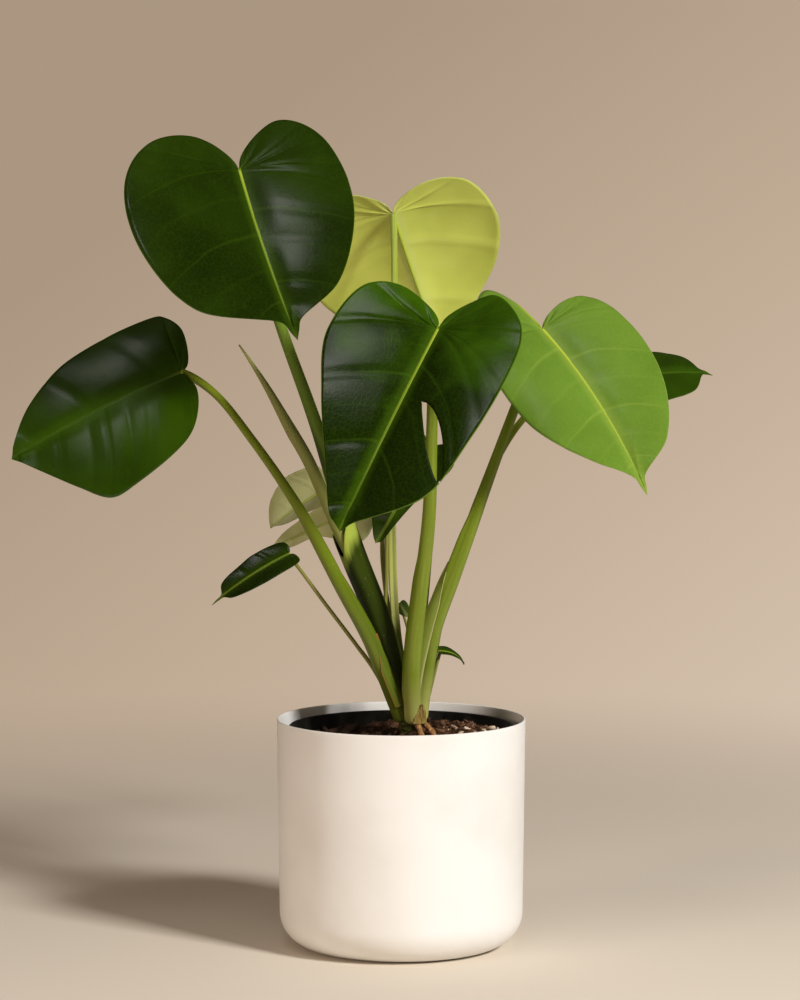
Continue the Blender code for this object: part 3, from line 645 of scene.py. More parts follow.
        side = -1.0 if upper else 1.0
        groove = add("MapRange", {"Value": near, "From Min": 0.0, "From Max": 0.16, "To Min": 1.0, "To Max": 0.0},
                     interpolation_type="SMOOTHERSTEP")
        relief = add("Math", {0: groove, 1: side}, operation="MULTIPLY")
        fine = add("Math", {0: net_line, 1: side * 0.06, 2: relief}, operation="MULTIPLY_ADD")
        soft = add("Math", {0: grain, 1: 0.08, 2: fine}, operation="MULTIPLY_ADD")
        bump = add("Bump", {"Height": soft, "Strength": 0.5, "Distance": 0.0006})
        gloss = self.roughness if upper else self.under_roughness
        rough = add("MapRange", {"Value": tint, "From Min": 0.4, "From Max": 0.9, "To Min": gloss - 0.04,
                                 "To Max": gloss + 0.09})
        shader = add("BsdfPrincipled", {"Base Color": colour, "Roughness": rough, "Normal": bump, "IOR": 1.45})
        through = add("BsdfTranslucent", {"Color": self.glow})
        mixed = add("MixShader", {0: self.glow_share, 1: shader, 2: through})
        add("OutputMaterial", {"Surface": mixed})
        return made

    def edge_material(self) -> Material:
        """The cut edge of the blade: a thin pale line, a little cloudy.

        Returns:
            The material.
        """
        made, add = new_material(f"{self.name}_edge")
        cloud = add("TexNoise", {"Vector": add("TexCoord").outputs["Object"], "Scale": 120.0, "Detail": 3.0})
        tone = add("ValToRGB", {"Fac": cloud}, [(0.3, self.base), (0.7, self.rim)])
        add("OutputMaterial", {"Surface": add("BsdfPrincipled", {"Base Color": tone, "Roughness": 0.45})})
        return made


DARK_SKIN = LeafSkin("leaf_mature_waxed", "#162401", "#223602", "#42600e", "#86a032", "#405c14",
                     "#4f6820", "#40581c", "#708438", "#6f9c14", 0.05, 0.27, 0.5, 0.20, 0.25)
# painted light: a lighter copy of the mature leaf's tones for the two far leaves, standing in for light where the
# leaves above shade them
PAINTED_LIGHT_SIDE_SKIN = LeafSkin("leaf_mature_side_painted_light", "#1f3301", "#2d4702", "#3c5c0c", "#4c6a14", "#4a6618",
                     "#4f6820", "#40581c", "#708438", "#6f9c14", 0.05, 0.33, 0.5, 0.14, 0.2)
FRONT_SKIN = LeafSkin("leaf_mature_front", "#152400", "#375b03", "#507612", "#94b034", "#6c8c2a",
                      "#4f6820", "#40581c", "#708438", "#6f9c14", 0.06, 0.26, 0.5, 0.18, 0.52)
YOUNG_SKIN = LeafSkin("leaf_young_waxed", "#5b7c22", "#6d9030", "#a1b94c", "#b0c43c", "#9db35a",
                      "#8aa846", "#7f9f3f", "#b4c872", "#a6c838", 0.16, 0.36, 0.5, 0.28)
LIT_SKIN = LeafSkin("leaf_young_backlit", "#7a982c", "#8fae38", "#a9c65a", "#c8d670", "#d0d890",
                    "#dbe36a", "#b9c44a", "#e2e896", "#dce650", 0.27, 0.34, 0.46, 0.26)
# partly the small leaves' own pale undersides and partly painted light: the tones are lifted so that these leaves
# read lit where they lie in shade
PALE_SKIN = LeafSkin("leaf_small_pale_under", "#2c4a12", "#3c5e1c", "#6a8c40", "#b2b878", "#b4ba80",
                     "#dadca0", "#c4c888", "#e2e4b0", "#c2d070", 0.26, 0.34, 0.5, 0.16)

STALK_GREEN = StalkSkin("petiole_green_waxed", "#b6b66c", "#71821e", "#6c7d1c", "#8f9a3c")
STALK_DARK = StalkSkin("petiole_dark_waxed", "#6e7434", "#3e5410", "#66802a", "#76843a", 0.33)
STALK_OLIVE = StalkSkin("petiole_olive_waxed", "#566420", "#586b14", "#778820", "#7c7a30", 0.28)
STALK_CREAM = StalkSkin("petiole_cream_streaked", "#c4bb84", "#b2b266", "#93a63a", "#cfca92", 0.30, 0.4, 7.0)
STALK_THIN = StalkSkin("petiole_thin_olive", "#77723a", "#7c7e38", "#87893c", "#908250", 0.12, 0.4, 3.0)
SPEAR_SKIN = StalkSkin("rolled_leaf_olive", "#6b7430", "#747e32", "#868a4e", "#8f8450", 0.30, 0.4)
SHEATH_DARK = StalkSkin("sheath_green_fleshy", "#525c1e", "#2c3806", "#283606", "#3f4d12", 0.16, 0.6, 16.0, "#9fb046")
SHEATH_PAPER = StalkSkin("sheath_green_drying", "#808e30", "#7f9030", "#96a246", "#a6ae62", 0.12, 0.45, 12.0,
                         "#b5b07a")
SHEATH_BROWN = StalkSkin("sheath_olive_brown_edged", "#5e6222", "#586a1a", "#627420", "#7a7a34", 0.08, 0.45, 10.0,
                         "#8f6433")
RIB_SKIN = StalkSkin("midrib_pale_waxed", "#b2c234", "#a8ba34", "#8ba63c", "#bccb62", 0.16, 0.42)
RIB_DARK_SKIN = StalkSkin("midrib_green_waxed", "#a4b432", "#849c22", "#42600c", "#93a83c", 0.15, 0.42)
RIB_DEEP_SKIN = StalkSkin("midrib_deep_green", "#56701c", "#38540a", "#263e02", "#466014", 0.12, 0.42)


# ================================================================ pots
@dataclass
class CoverPot:
    """The outer pot: a straight wall, a broad rounded foot and a thin, softly rounded rim."""

    height: float = 0.170
    rim_radius: float = 0.0925
    draft: float = 0.0020
    wall: float = 0.0024
    rim_wall: float = 0.0016
    floor: float = 0.0030
    foot: float = 0.026
    steps: int = 160
    glaze: MattGlaze = field(default_factory=MattGlaze)

    def radius(self, height: Array) -> Array:
        """Outer radius of the wall, which leans out a little towards the rim."""
        return self.rim_radius - self.draft * (1 - height / self.height)

    def profile(self) -> Array:
        """The section from the middle of the inside floor, up and over the rim, down to the underside.

        Returns:
            One (radius, height) per row.
        """
        arc_at = self.radius(self.foot) - self.foot
        inner = self.foot - self.wall
        rim = self.rim_wall / 2
        heights = np.linspace(self.foot + self.floor, self.height - 0.004, 18)
        thinned = (self.wall - self.rim_wall) * smoothstep(0.8, 1, heights / self.height)
        inside = np.stack([self.radius(heights) - self.wall + thinned, heights], 1)
        outside = np.stack([self.radius(heights), heights], 1)[::-1]
        return np.concatenate([
            [[0, self.floor], [arc_at * 0.5, self.floor]],
            quarter((arc_at, self.floor + inner), inner, -90, -4, 12),
            inside,
            quarter((self.radius(self.height) - rim, self.height - rim), rim, 180, 0, 9),
            outside,
            quarter((arc_at, self.foot), self.foot, 0, -90, 16),
            [[arc_at * 0.5, 0], [0, 0]],
        ])

    def build(self) -> Piece:
        """Turns the section and dresses it.

        Returns:
            The pot.
        """
        points, quads, pairs = lathe(self.profile(), self.steps)
        return make_piece("cover_pot_body", points, quads, [self.glaze.material()], ["cover_pot"],
                          {"run": pairs})


@dataclass
class NurseryPot:
    """The thin black grower's pot inside: tapered, with a rolled band at its mouth and holes in its floor."""

    top: float = 0.1645
    bottom: float = 0.0033
    mouth: float = 0.0814
    foot: float = 0.0645
    wall: float = 0.0012
    lip: float = 0.0022
    lip_height: float = 0.009
    holes: int = 8
    hole_radius: float = 0.005
    hole_circle: float = 0.046
    steps: int = 128
    plastic: BlackPolypropylene = field(default_factory=BlackPolypropylene)

    def radius(self, height: float) -> float:
        """Outer radius of the tapered wall."""
        return self.foot + (self.mouth - self.foot) * (height - self.bottom) / (self.top - self.bottom)

    def build(self) -> Piece:
        """Turns the section, cuts the drain holes and dresses it.

        Returns:
            The pot.
        """
        floor = self.bottom + self.wall
        band = self.top - self.lip_height
        edge = self.wall / 3
        out = self.radius(self.top) + self.lip
        profile = np.array([
            [0, floor], [self.hole_circle, floor], [self.radius(floor) - self.wall, floor],
            [self.radius(self.top - edge) - self.wall, self.top - edge],
            [self.radius(self.top) - self.wall + edge, self.top],
            [out - edge, self.top], [out, self.top - edge], [out, band + edge], [out - edge, band],
            [self.radius(band), band], [self.radius(self.bottom), self.bottom],
            [self.hole_circle, self.bottom], [0, self.bottom]])
        points, quads, pairs = lathe(profile, self.steps)
        piece = make_piece("nursery_pot_body", points, quads, [self.plastic.material()],
                           ["nursery_pot"], {"run": pairs})
        self.cut_holes(piece)
        return piece

    def cut_holes(self, piece: Piece) -> None:
        """Cuts the ring of drain holes through the floor.

        Args:
            piece: the pot.
        """
        shape = bmesh.new()
        for index in range(self.holes):
            turn = 2 * pi * (index + 0.5) / self.holes
            made = bmesh.ops.create_cone(shape, cap_ends=True, segments=24, radius1=self.hole_radius,
                                         radius2=self.hole_radius, depth=6 * self.wall)
            place = (self.hole_circle * cos(turn), self.hole_circle * sin(turn), self.bottom)
            bmesh.ops.translate(shape, verts=made["verts"], vec=place)
        mesh = bpy.data.meshes.new("drain_holes")
        shape.to_mesh(mesh)
        shape.free()
        cutter = bpy.data.objects.new("drain_holes", mesh)
        bpy.context.scene.collection.objects.link(cutter)
        boolean = piece.modifiers.new("drain_holes", "BOOLEAN")
        boolean.operation = "DIFFERENCE"
        boolean.solver = "EXACT"
        boolean.object = cutter
        bpy.context.view_layer.update()
        cut = bpy.data.meshes.new_from_object(piece.evaluated_get(bpy.context.evaluated_depsgraph_get()))
        piece.modifiers.clear()
        piece.data = cut
        bpy.data.objects.remove(cutter, do_unlink=True)


@dataclass
class Soil:
    """The potting mix, with bark and coco chips lying on it."""

    level: float = SOIL_LEVEL
    mound: float = 0.0030  # how far the surface falls from the middle to the wall
    bottom: float = 0.0048
    edge_radius: float = 0.0787
    foot_radius: float = 0.0632
    rings: int = 90
    steps: int = 220
    chips: int = 760
    chip_grid: tuple[int, int] = (5, 8)  # points up and round each chip
    stem: tuple[float, float] = (0.0075, -0.0030)  # which the chips leave free
    mix: PottingMix = field(default_factory=PottingMix)
    bark: BarkChip = field(default_factory=BarkChip)

    def height(self, x: Array, y: Array) -> Array:
        """Height of the surface: a low mound, heaped towards +X, with crumbs of 9, 4 and 2 mm on it, settled at
        the wall.

        Args:
            x: places along X.
            y: places along Y.

        Returns:
            A height for each place.
        """
        share = np.sqrt(x * x + y * y) / self.edge_radius
        rough = (1.5 * lattice_noise(x, y, 9 * MM, 3) + 0.9 * lattice_noise(x, y, 4 * MM, 4)
                 + 0.5 * lattice_noise(x, y, 2 * MM, 5)) * MM
        heap = 3.4 * MM * smoothstep(-0.02, 0.06, x + 0.4 * y) - 1.2 * MM * smoothstep(0.0, 0.06, -x)
        return self.level - self.mound * share**2 + heap + rough * (1 - smoothstep(0.96, 1.0, share)) - 0.0008

    def build_mix(self) -> Piece:
        """A disc of fine rings for the surface, then the plug's side and underside.

        Returns:
            The mix.
        """
        share = np.linspace(0, 1, self.rings) ** 0.85
        turn = np.linspace(0, 2 * pi, self.steps + 1)
        x = self.edge_radius * share[:, None] * np.cos(turn)
        y = self.edge_radius * share[:, None] * np.sin(turn)
        top = np.stack([x, y, self.height(x, y)], -1)
        ring = np.stack([np.cos(turn), np.sin(turn), np.zeros_like(turn)], -1)
        side = ring[None] * np.array([self.foot_radius, 0.0])[:, None, None] + np.array([0, 0, self.bottom])
        points = np.concatenate([top, side])
        return make_piece("potting_mix", points.reshape(-1, 3), grid_quads(len(points), self.steps + 1),
                          [self.mix.material()], ["soil"])

    def build_chips(self) -> Piece:
        """Every chip is one 7 by 5 rounded block, stretched, turned and jittered by seeded random numbers. The
        block is a ball whose sines and cosines are raised to a power below 1.

        Returns:
            All chips, as one piece.
        """
        rng = np.random.default_rng(11)
        n = self.chips
        radius = self.edge_radius * 0.965 * np.sqrt(rng.uniform(0, 1, n))
        turn = rng.uniform(0, 2 * pi, n)
        place = np.stack([radius * np.cos(turn), radius * np.sin(turn)], -1)
        off = place - np.array(self.stem)
        far = np.linalg.norm(off, axis=1, keepdims=True)
        place = np.where(far < 0.011, np.array(self.stem) + off / np.maximum(far, 1e-6) * 0.012, place)
        rows, columns = self.chip_grid
        around, rise = np.linspace(0, 2 * pi, columns), np.linspace(-pi / 2, pi / 2, rows)
        flat, high, east, north = (np.sign(v) * np.abs(v) ** 0.55 for v in (
            np.cos(rise)[:, None], np.sin(rise)[:, None], np.cos(around), np.sin(around)))
        block = np.stack([flat * east, flat * north, np.broadcast_to(high, self.chip_grid)], -1)
        long_side = rng.lognormal(np.log(2.0), 0.45, n) * MM
        size = np.stack([long_side, long_side * rng.uniform(0.25, 0.7, n), long_side * rng.uniform(0.12, 0.4, n)], -1)
        jitter = rng.uniform(0.75, 1.2, (n, rows, columns, 1))
        jitter[:, :, -1] = jitter[:, :, 0]
        jitter[:, 0] = jitter[:, 0, :1]
        jitter[:, -1] = jitter[:, -1, :1]
        chips = block[None] * size[:, None, None] * jitter
        yaw, tip = rng.uniform(0, 2 * pi, n), rng.normal(0, 0.45, n)
        cy, sy, ct, st = np.cos(yaw), np.sin(yaw), np.cos(tip), np.sin(tip)
        turned = np.stack([cy * ct, -sy, cy * st, sy * ct, cy, sy * st, -st, 0 * st, ct], -1).reshape(n, 3, 3)
        chips = np.einsum("nij,nabj->nabi", turned, chips)
        ground = self.height(place[:, 0], place[:, 1]) + size[:, 2] * 0.5
        chips = chips + np.concatenate([place, ground[:, None]], 1)[:, None, None]
        first = np.arange(n) * rows * columns
        quads = (grid_quads(rows, columns)[None] + first[:, None, None]).reshape(-1, 4)
        # chips paler towards +X
        pale = smoothstep(0.0, 0.07, place[:, 0] - 0.3 * place[:, 1])
        tone = np.clip(rng.uniform(0.0, 0.5, n) * (0.5 + 0.5 * pale) + 0.7 * pale * rng.uniform(0, 1, n), 0, 1)
        return make_piece("bark_chips", chips.reshape(-1, 3), quads, [self.bark.material()],
                          tones=np.repeat(tone, rows * columns), weld=1e-7)

    def build(self) -> list[Piece]:
        """Builds the mix and the chips."""
        return [self.build_mix(), self.build_chips()]


# ================================================================ crown
@dataclass
class Crown:
    """The short ringed stem, its two aerial roots and a dried sheath that stands against it."""

    place: tuple[float, float] = (0.0075, -0.0030)
    level: float = SOIL_LEVEL
    dome_radius: float = 0.0125
    height: float = 0.026  # of the dome's top above the soil
    edge: float = 0.0102  # radius at the dome's edge
    neck: float = 0.0085  # radius above the soil
    foot: float = 0.0065  # radius at the buried end
    buried: float = 0.045
    clasp: float = 0.0125  # how far out the stalks' feet stand
    clasp_height: float = 0.0135
    root_radius: float = 0.0022
    root_buried: float = 0.020
    sheath_height: float = 0.015
    sheath_spread: float = radians(44)
    sheath_direction: float = radians(-62)

    def base(self) -> Array:
        """The middle of the stem at the soil's surface."""
        return np.array([*self.place, self.level])

    def foot_of(self, lean: tuple[float, float]) -> Array:
        """Where a stalk that leaves by these degrees to +X and to +Y stands against the stem's neck."""
        out = unit(np.array([tan(radians(lean[0])), tan(radians(lean[1])), 1]))
        return self.base() + np.array([out[0] * self.clasp, out[1] * self.clasp, self.clasp_height])

    def dome_low(self) -> float:
        """Height of the dome's edge above the soil."""
        return self.height - self.dome_radius + sqrt(self.dome_radius**2 - self.edge**2)

    def build_stem(self) -> Piece:
        """A turned profile from the dome's top, whose radius ripples with leaf scars: the cube of a sine of the
        height, tilted round the stem.

        Returns:
            The stem.
        """
        dome_low = self.dome_low()
        knots = np.array([
            [self.edge, dome_low], [self.edge + 0.0002, dome_low - 0.005], [self.neck + 0.0010, dome_low - 0.012],
            [self.neck + 0.0002, dome_low - 0.018], [self.neck, -0.004], [self.foot, -self.buried]])
        lower = spline(knots, np.linspace(0, 1, 70))
        turn = np.linspace(0, np.arcsin(self.edge / self.dome_radius), 14)
        upper = self.dome_radius * np.stack([np.sin(turn), np.cos(turn)], 1) + [0, self.height - self.dome_radius]
        profile = np.concatenate([upper, lower[1:], [[0, -self.buried - 0.004]]])
        steps = 48
        around = np.linspace(0, 2 * pi, steps + 1)
        scar = 0.45 * MM * np.sin(2 * pi * profile[:, 1:] / SCAR_PITCH + 1.2 * np.sin(around)) ** 3
        bumps = 0.35 * MM * np.sin(3 * around + profile[:, 1:] * 300)
        under_dome = 1 - smoothstep(dome_low - 0.001, dome_low + 0.001, profile[:, 1:])
        keep = smoothstep(0.0, 0.004, profile[:, :1]) * under_dome
        points, quads, pairs = lathe(profile, steps, (scar + bumps - 0.0004) * keep)
        return make_piece("stem_ringed", points + self.base(), quads, [STEM_BARK.material()], ["stem"],
                          {"run": pairs})

    def build_roots(self) -> list[Piece]:
        """Two tubes whose radius swells and pinches a little along the way: two sines of the way along.

        Returns:
            The left and the right root.
        """
        pieces = []
        material = ROOT_BARK.material()
        start = self.neck + self.root_radius + 0.0006
        for side, turn, reach in (("left", radians(-66), 0.010), ("right", radians(-34), 0.013)):
            out, up = np.array([cos(turn), sin(turn), 0]), np.array([0, 0, 1])
            knots = [self.base() + out * (start + share * reach) + up * height for share, height in (
                (0, 0.0085), (0.4, 0.0055), (0.8, -0.002), (1, -self.root_buried))]
            shares = np.linspace(0, 1, 40)
            radius = self.root_radius * (1 + 0.10 * np.sin(shares * 31 + turn) + 0.06 * np.sin(shares * 70))
            aside = np.array([-sin(turn), cos(turn), 0])
            points, quads, pairs = tube(even_points(knots, shares), radius, aside, 18)
            pieces.append(make_piece("aerial_root_" + side + "_grown", points, quads, [material],
                                     ["aerial_root_" + side], {"run": pairs}))
        return pieces

    def build_sheath(self) -> Piece:
        """A pointed scale bent round the crown: angle runs across it and height along it, its width closes
        towards the top as the height's power of 1.5, and its edges are torn by noise.

        Returns:
            The scale.
        """
        across, up = np.meshgrid(np.linspace(-1, 1, 29), np.linspace(0, 1, 34))
        torn = 0.10 * lattice_noise(np.sign(across) * 5 + up * 9, up * 9, 1.0, 21) * np.abs(across) ** 4
        turn = self.sheath_direction + self.sheath_spread / 2 * across * (1 - 0.75 * up**1.5 + torn)
        radius = self.edge + 0.0045 + 0.0014 * up**2 + 0.00025 * np.sin(across * 9 + up * 3)
        radius = radius + 0.0006 * np.abs(across) ** 3 * up
        z = self.dome_low() - self.sheath_height + 0.004 + self.sheath_height * up * (1 - 0.06 * np.abs(across))
        points = self.base() + np.stack([radius * np.cos(turn), radius * np.sin(turn), z], -1)
        quads = grid_quads(*across.shape)
        piece = make_piece("dried_sheath_papery", points.reshape(-1, 3), quads, [DRIED_BARK.material()],
                           ["dried_sheath"], {"run": np.stack([across, up], -1).reshape(-1, 2)}, closed=False)
        add_thickness(piece, SCALE_WALL, 0)
        return piece

    def build(self) -> list[Piece]:
        """Builds the stem, the roots and the dried sheath."""
        return [self.build_stem(), *self.build_roots(), self.build_sheath()]


def add_thickness(piece: Piece, thickness: float, shift: int) -> None:
    """Gives a sheet a wall, half on each side.

    Args:
        piece: the sheet.
        thickness: metres.
        shift: how many material slots further the other face's material is; the rim's is twice as far.
    """
    solidify = piece.modifiers.new("thickness", "SOLIDIFY")
    solidify.thickness = thickness
    solidify.offset = 0
    solidify.material_offset = shift
    solidify.material_offset_rim = 2 * shift


# ================================================================ leaves
def above_soil(places: Array) -> Array:
    """Places in millimetres from the middle of the soil's surface, in metres and world axes."""
    return np.array(places, float) * MM + np.array([0, 0, SOIL_LEVEL])


def basis(along: Array, normal: Array) -> Array:
    """Axes as columns: square to the other two, along a direction, and as near to a normal as that allows.

    Args:
        along: the direction.
        normal: the wished normal.

    Returns:
        A 3 by 3 rotation.
    """
    along = unit(along)
    normal = unit(np.asarray(normal, float) - along * np.dot(normal, along))
    return np.stack([np.cross(along, normal), along, normal], 1)


@dataclass(frozen=True)
class Half:
    """One side of a blade, laid flat: width in millimetres, the rest shares of the half's width or of the
    blade's length, fold and curl in degrees."""

    width: float
    lobe: float  # how far the lobe reaches back past the stalk
    lobe_at: float  # how far from the rib the lobe is longest
    broad_at: float  # how far along the blade it is broadest
    belly: float  # width a little further on
    shoulder: float  # width at 0.78 of the length
    fold: float  # how far the half rises beside the rib
    curl: float  # how far it turns from there to the margin, downwards below 0
    corner: float | None = None  # how far along the blade the lobe's outer corner lies
    vein_lean: float = 0.42  # how far back a side vein leaves the rib, per width
    sinus: tuple[float, float] = (0.07, 0.45)  # the notch at the stalk: how wide, and its share of the lobe
    drip: tuple[float, float] = (0.15, 0.043)  # the drawn-out tip: its width and its length

    def margin(self, length: float, samples: Array) -> Array:
        """The half's outline as a spline through ten knots.

        Args:
            length: the rib's length in metres.
            samples: shares 0 to 1 of the outline, from stalk to tip.

        Returns:
            One (away from the rib, along it) per sample, in metres.
        """
        corner = -0.58 * self.lobe if self.corner is None else self.corner
        (notch, notch_depth), (neck, drip) = self.sinus, self.drip
        knots = [(0, 0), (notch, -notch_depth * self.lobe), (self.lobe_at, -self.lobe),
                 (0.60 + self.lobe_at / 2, corner), (1.0, self.broad_at),
                 (self.belly, max(0.48, self.broad_at + 0.14)), (self.shoulder, 0.78),
                 (neck, 1 - drip), (neck / 2, 1 - drip / 2), (0, 1)]
        return spline(np.array(knots) * [self.width * MM, length], samples)

    def flat(self, length: float, along: Array, across: Array) -> tuple[Array, Array]:
        """Where a point lies on the flat half. A side vein is a quadratic curve that leaves the rib behind its
        end on the margin.

        Args:
            length: the rib's length in metres.
            along: picks the side vein, from 0 at the stalk to 1 at the tip.
            across: share of the way from rib to margin.

        Returns:
            Metres away from the rib, and along it.
        """
        edge = self.margin(length, along.ravel()).reshape(*along.shape, 2)
        soft = 0.04 * length  # vein starts that would lie behind the stalk crowd above it over this length
        back = edge[..., 1] - self.vein_lean * edge[..., 0]
        start = (back + np.sqrt(back**2 + soft**2)) / 2 - soft / 2 * (1 - along)
        start = np.clip(start, 0, length)
        start = np.where(along <= 0, 0, np.where(along >= 1, edge[..., 1], start))
        bend_y = start + 0.22 * (edge[..., 1] - start)
        x = across * edge[..., 0]
        y = (1 - across) ** 2 * start + 2 * across * (1 - across) * bend_y + across**2 * edge[..., 1]
        return x, y


@dataclass(frozen=True)
class Slot:
    """A slot that runs in from the margin of the right half along a side vein, in shares."""

    at: float  # which side vein
    start: float  # how far from the rib it begins
    width: float
    reach: float = 0.9985  # of a half wave: just below 1, it stays a little open at the margin
    skew: float = 1.2  # above 1, it is widest near the margin
    blunt: float = 0.55  # below 1, its ends are round


@dataclass
class Leaf:
    """A blade, the rib that carries it and the stalk that it hangs on. Places are in millimetres from the
    middle of the soil's surface, droop and sweep are the rib's bends in degrees, lean is the stalk's."""

    name: str
    attach: tuple[float, float, float]  # where the stalk meets the blade
    tip: tuple[float, float, float]
    face: tuple[float, float, float]  # the direction that the upper side looks in
    droop: float
    sweep: float
    left: Half
    right: Half
    lean: tuple[float, float]
    stalk: list[tuple[float, float, float]]  # knots between the crown and the blade
    stalk_radii: tuple[float, ...]  # millimetres, at even steps
    skin: LeafSkin
    stalk_skin: StalkSkin
    rib_skin: StalkSkin = RIB_SKIN
    slot_name: str = "dark_leaf"
    veins: int = 8
    panel_mm: float = 1.5  # how far the blade swells between side veins
    wave_mm: float = 1.0  # how far the margin waves
    rib_mm: float = 1.5  # the rib's radius at the stalk
    wing: float = 0.16  # how far the sheath's wings stand up, as a share of the stalk's radius
    wing_top: float = 0.45  # share of the stalk that the sheath covers
    rows: int = 120  # faces from stalk to tip
    columns: int = 30  # faces from rib to margin
    split: Slot | None = None

    def rib_length(self) -> float:
        """The rib is an arc, so it is longer than the straight line from stalk to tip.

        Returns:
            Metres.
        """
        chord = float(np.linalg.norm(above_soil(self.tip) - above_soil(self.attach)))
        turn = radians(sqrt(self.droop**2 + self.sweep**2))
        return chord * (turn / 2) / sin(turn / 2)

    def turned(self) -> Array:
        """Rotation that puts the bent rib's chord on the line from stalk to tip, upper side to the face.

        Returns:
            A 3 by 3 matrix.
        """
        droop, sweep, length = radians(self.droop), radians(self.sweep), self.rib_length()
        turn = sqrt(droop**2 + sweep**2)
        radius = length / turn
        towards = np.array([sweep, 0, -droop]) / turn
        chord = np.array([0, radius * sin(turn), 0]) + towards * radius * (1 - cos(turn))
        return basis(above_soil(self.tip) - above_soil(self.attach), self.face) @ basis(chord, (0, 0, 1)).T

    def bend(self, half: Half, side: int, x: Array, y: Array, raised: Array) -> Array:
        """Rolls flat points into shape: a cross-section is an arc that rises from the rib and turns down, and
        it is carried along the rib, which is an arc as well.

        Args:
            half: the half that the points lie on.
            side: 1 for the left half, -1 for the right one.
            x: metres away from the rib.
            y: metres along it.
            raised: metres square to the section.

        Returns:
            World points.
        """
        length = self.rib_length()
        rise = radians(half.fold)
        curl = radians(half.curl) / (half.width * MM)
        slope = rise + curl * x
        out = (np.sin(slope) - np.sin(rise)) / curl - raised * np.sin(slope)
        lift = (np.cos(rise) - np.cos(slope)) / curl + raised * np.cos(slope)
        droop, sweep = radians(self.droop) / length, radians(self.sweep) / length
        bend = sqrt(droop**2 + sweep**2)
        nx, nz = sweep / bend, -droop / bend
        turn = bend * y
        rest = 1 - np.cos(turn)
        rib = np.stack([nx * rest / bend, np.sin(turn) / bend, nz * rest / bend], -1)
        sideways = np.stack([np.cos(turn) + nz * nz * rest, -nx * np.sin(turn), -nx * nz * rest], -1)
        upwards = np.stack([-nx * nz * rest, -nz * np.sin(turn), np.cos(turn) + nx * nx * rest], -1)
        local = rib + sideways * (side * out)[..., None] + upwards * lift[..., None]
        return above_soil(self.attach) + local @ self.turned().T

    def rows_along(self) -> tuple[Array, int | None]:
        """Shares along the blade, closer together at its ends.

        Returns:
            The shares, with the split's row twice, and the number of the first of the two.
        """
        even = np.linspace(0, 1, self.rows + 1)
        shares = (1 - np.cos(np.linspace(0, pi, self.rows + 1))) / 2 * 0.35 + even * 0.65
        if self.split is None:
            return shares, None
        nearest = int(np.abs(shares - self.split.at).argmin())
        shares[nearest] = self.split.at
        return np.insert(shares, nearest, self.split.at), nearest

    def relief(self, along: Array, across: Array, x: Array, y: Array) -> Array:
        """How far the blade stands off its smooth shape: it swells between side veins as a power of the sine's
        size, waves at its margin as a sine and undulates slowly.

        Args:
            along: share from stalk to tip.
            across: share from rib to margin.
            x: metres away from the rib.
            y: metres along it.

        Returns:
            Metres.
        """
        swell = np.abs(np.sin(pi * self.veins * along)) ** 0.7 * smoothstep(0.02, 0.3, across) * (1 - 0.55 * across)
        ends = smoothstep(0.0, 0.10, along) * (1 - smoothstep(0.88, 1.0, along))
        wave = np.sin(2 * pi * 3.1 * along + 1.3 + self.attach[0]) * across**3
        slow = lattice_noise(x + self.attach[0], y + self.attach[2], 28 * MM, 8) * across
        return (self.panel_mm * swell * ends + self.wave_mm * wave * ends + 0.5 * self.wave_mm * slow) * MM

    def parted(self, along: Array, across: Array, seam: int) -> Array:
        """Moves the side veins on both sides of the split apart by the power of a sine, less and less with
        their distance from it.

        Args:
            along: share from stalk to tip.
            across: share from rib to margin.
            seam: number of the row at which the split begins.

        Returns:
            The new shares from stalk to tip.
        """
        split = self.split
        share = np.clip((across - split.start) / (1 - split.start), 0, 1)
        opening = split.width / 2 * np.sin(pi * split.reach * share**split.skew) ** split.blunt
        near = np.clip(1 - np.abs(along - split.at) / (split.width * 1.6), 0, 1)
        away = np.where(np.arange(len(along))[:, None] <= seam, -1.0, 1.0)
        return along + opening * near * away

    def build_blade(self) -> Piece:
        """A grid of side veins by shares of the way from margin to margin, mapped on to the bent halves.

        Returns:
            The blade.
        """
        length = self.rib_length()
        shares, seam = self.rows_along()
        cells = np.linspace(-1, 1, 2 * self.columns + 1)
        across_signed = np.sign(cells) * np.abs(cells) ** 1.15
        along, signed = np.meshgrid(shares, across_signed, indexing="ij")
        across = np.abs(signed)
        points = np.empty((*along.shape, 3))
        flat_map = np.empty((*along.shape, 2))
        for half, side in ((self.left, 1), (self.right, -1)):
            mine = signed >= 0 if side > 0 else signed <= 0
            columns = np.flatnonzero(mine[0])
            s, a = along[:, columns], across[:, columns]
            if seam is not None and side < 0:
                s = self.parted(s, a, seam)
            x, y = half.flat(length, s, a)
            points[:, columns] = self.bend(half, side, x, y, self.relief(s, a, x, y))
            flat_map[:, columns] = np.stack([side * x / MM, y / MM], -1)
        vein_map = np.stack([along * self.veins + np.where(signed < 0, 0.35, 0), across], -1)
        quads = grid_quads(*along.shape, skip_row=seam)
        flat_points = points.reshape(-1, 3)
        a, b, c, d = (flat_points[quads[:, i]] for i in range(4))
        if float((np.cross(c - a, d - b).sum(axis=0) @ np.array(self.face))) < 0:
            quads = quads[:, ::-1]
        materials = [*map(self.skin.material, Face), self.skin.edge_material()]
        maps = {"veins": vein_map.reshape(-1, 2), "flat": flat_map.reshape(-1, 2)}
        piece = make_piece(self.name + "_leaf", flat_points, quads, materials,
                           [self.name + "_blade"], maps, closed=False, weld=1e-5)
        add_thickness(piece, BLADE_WALL, 1)
        return piece

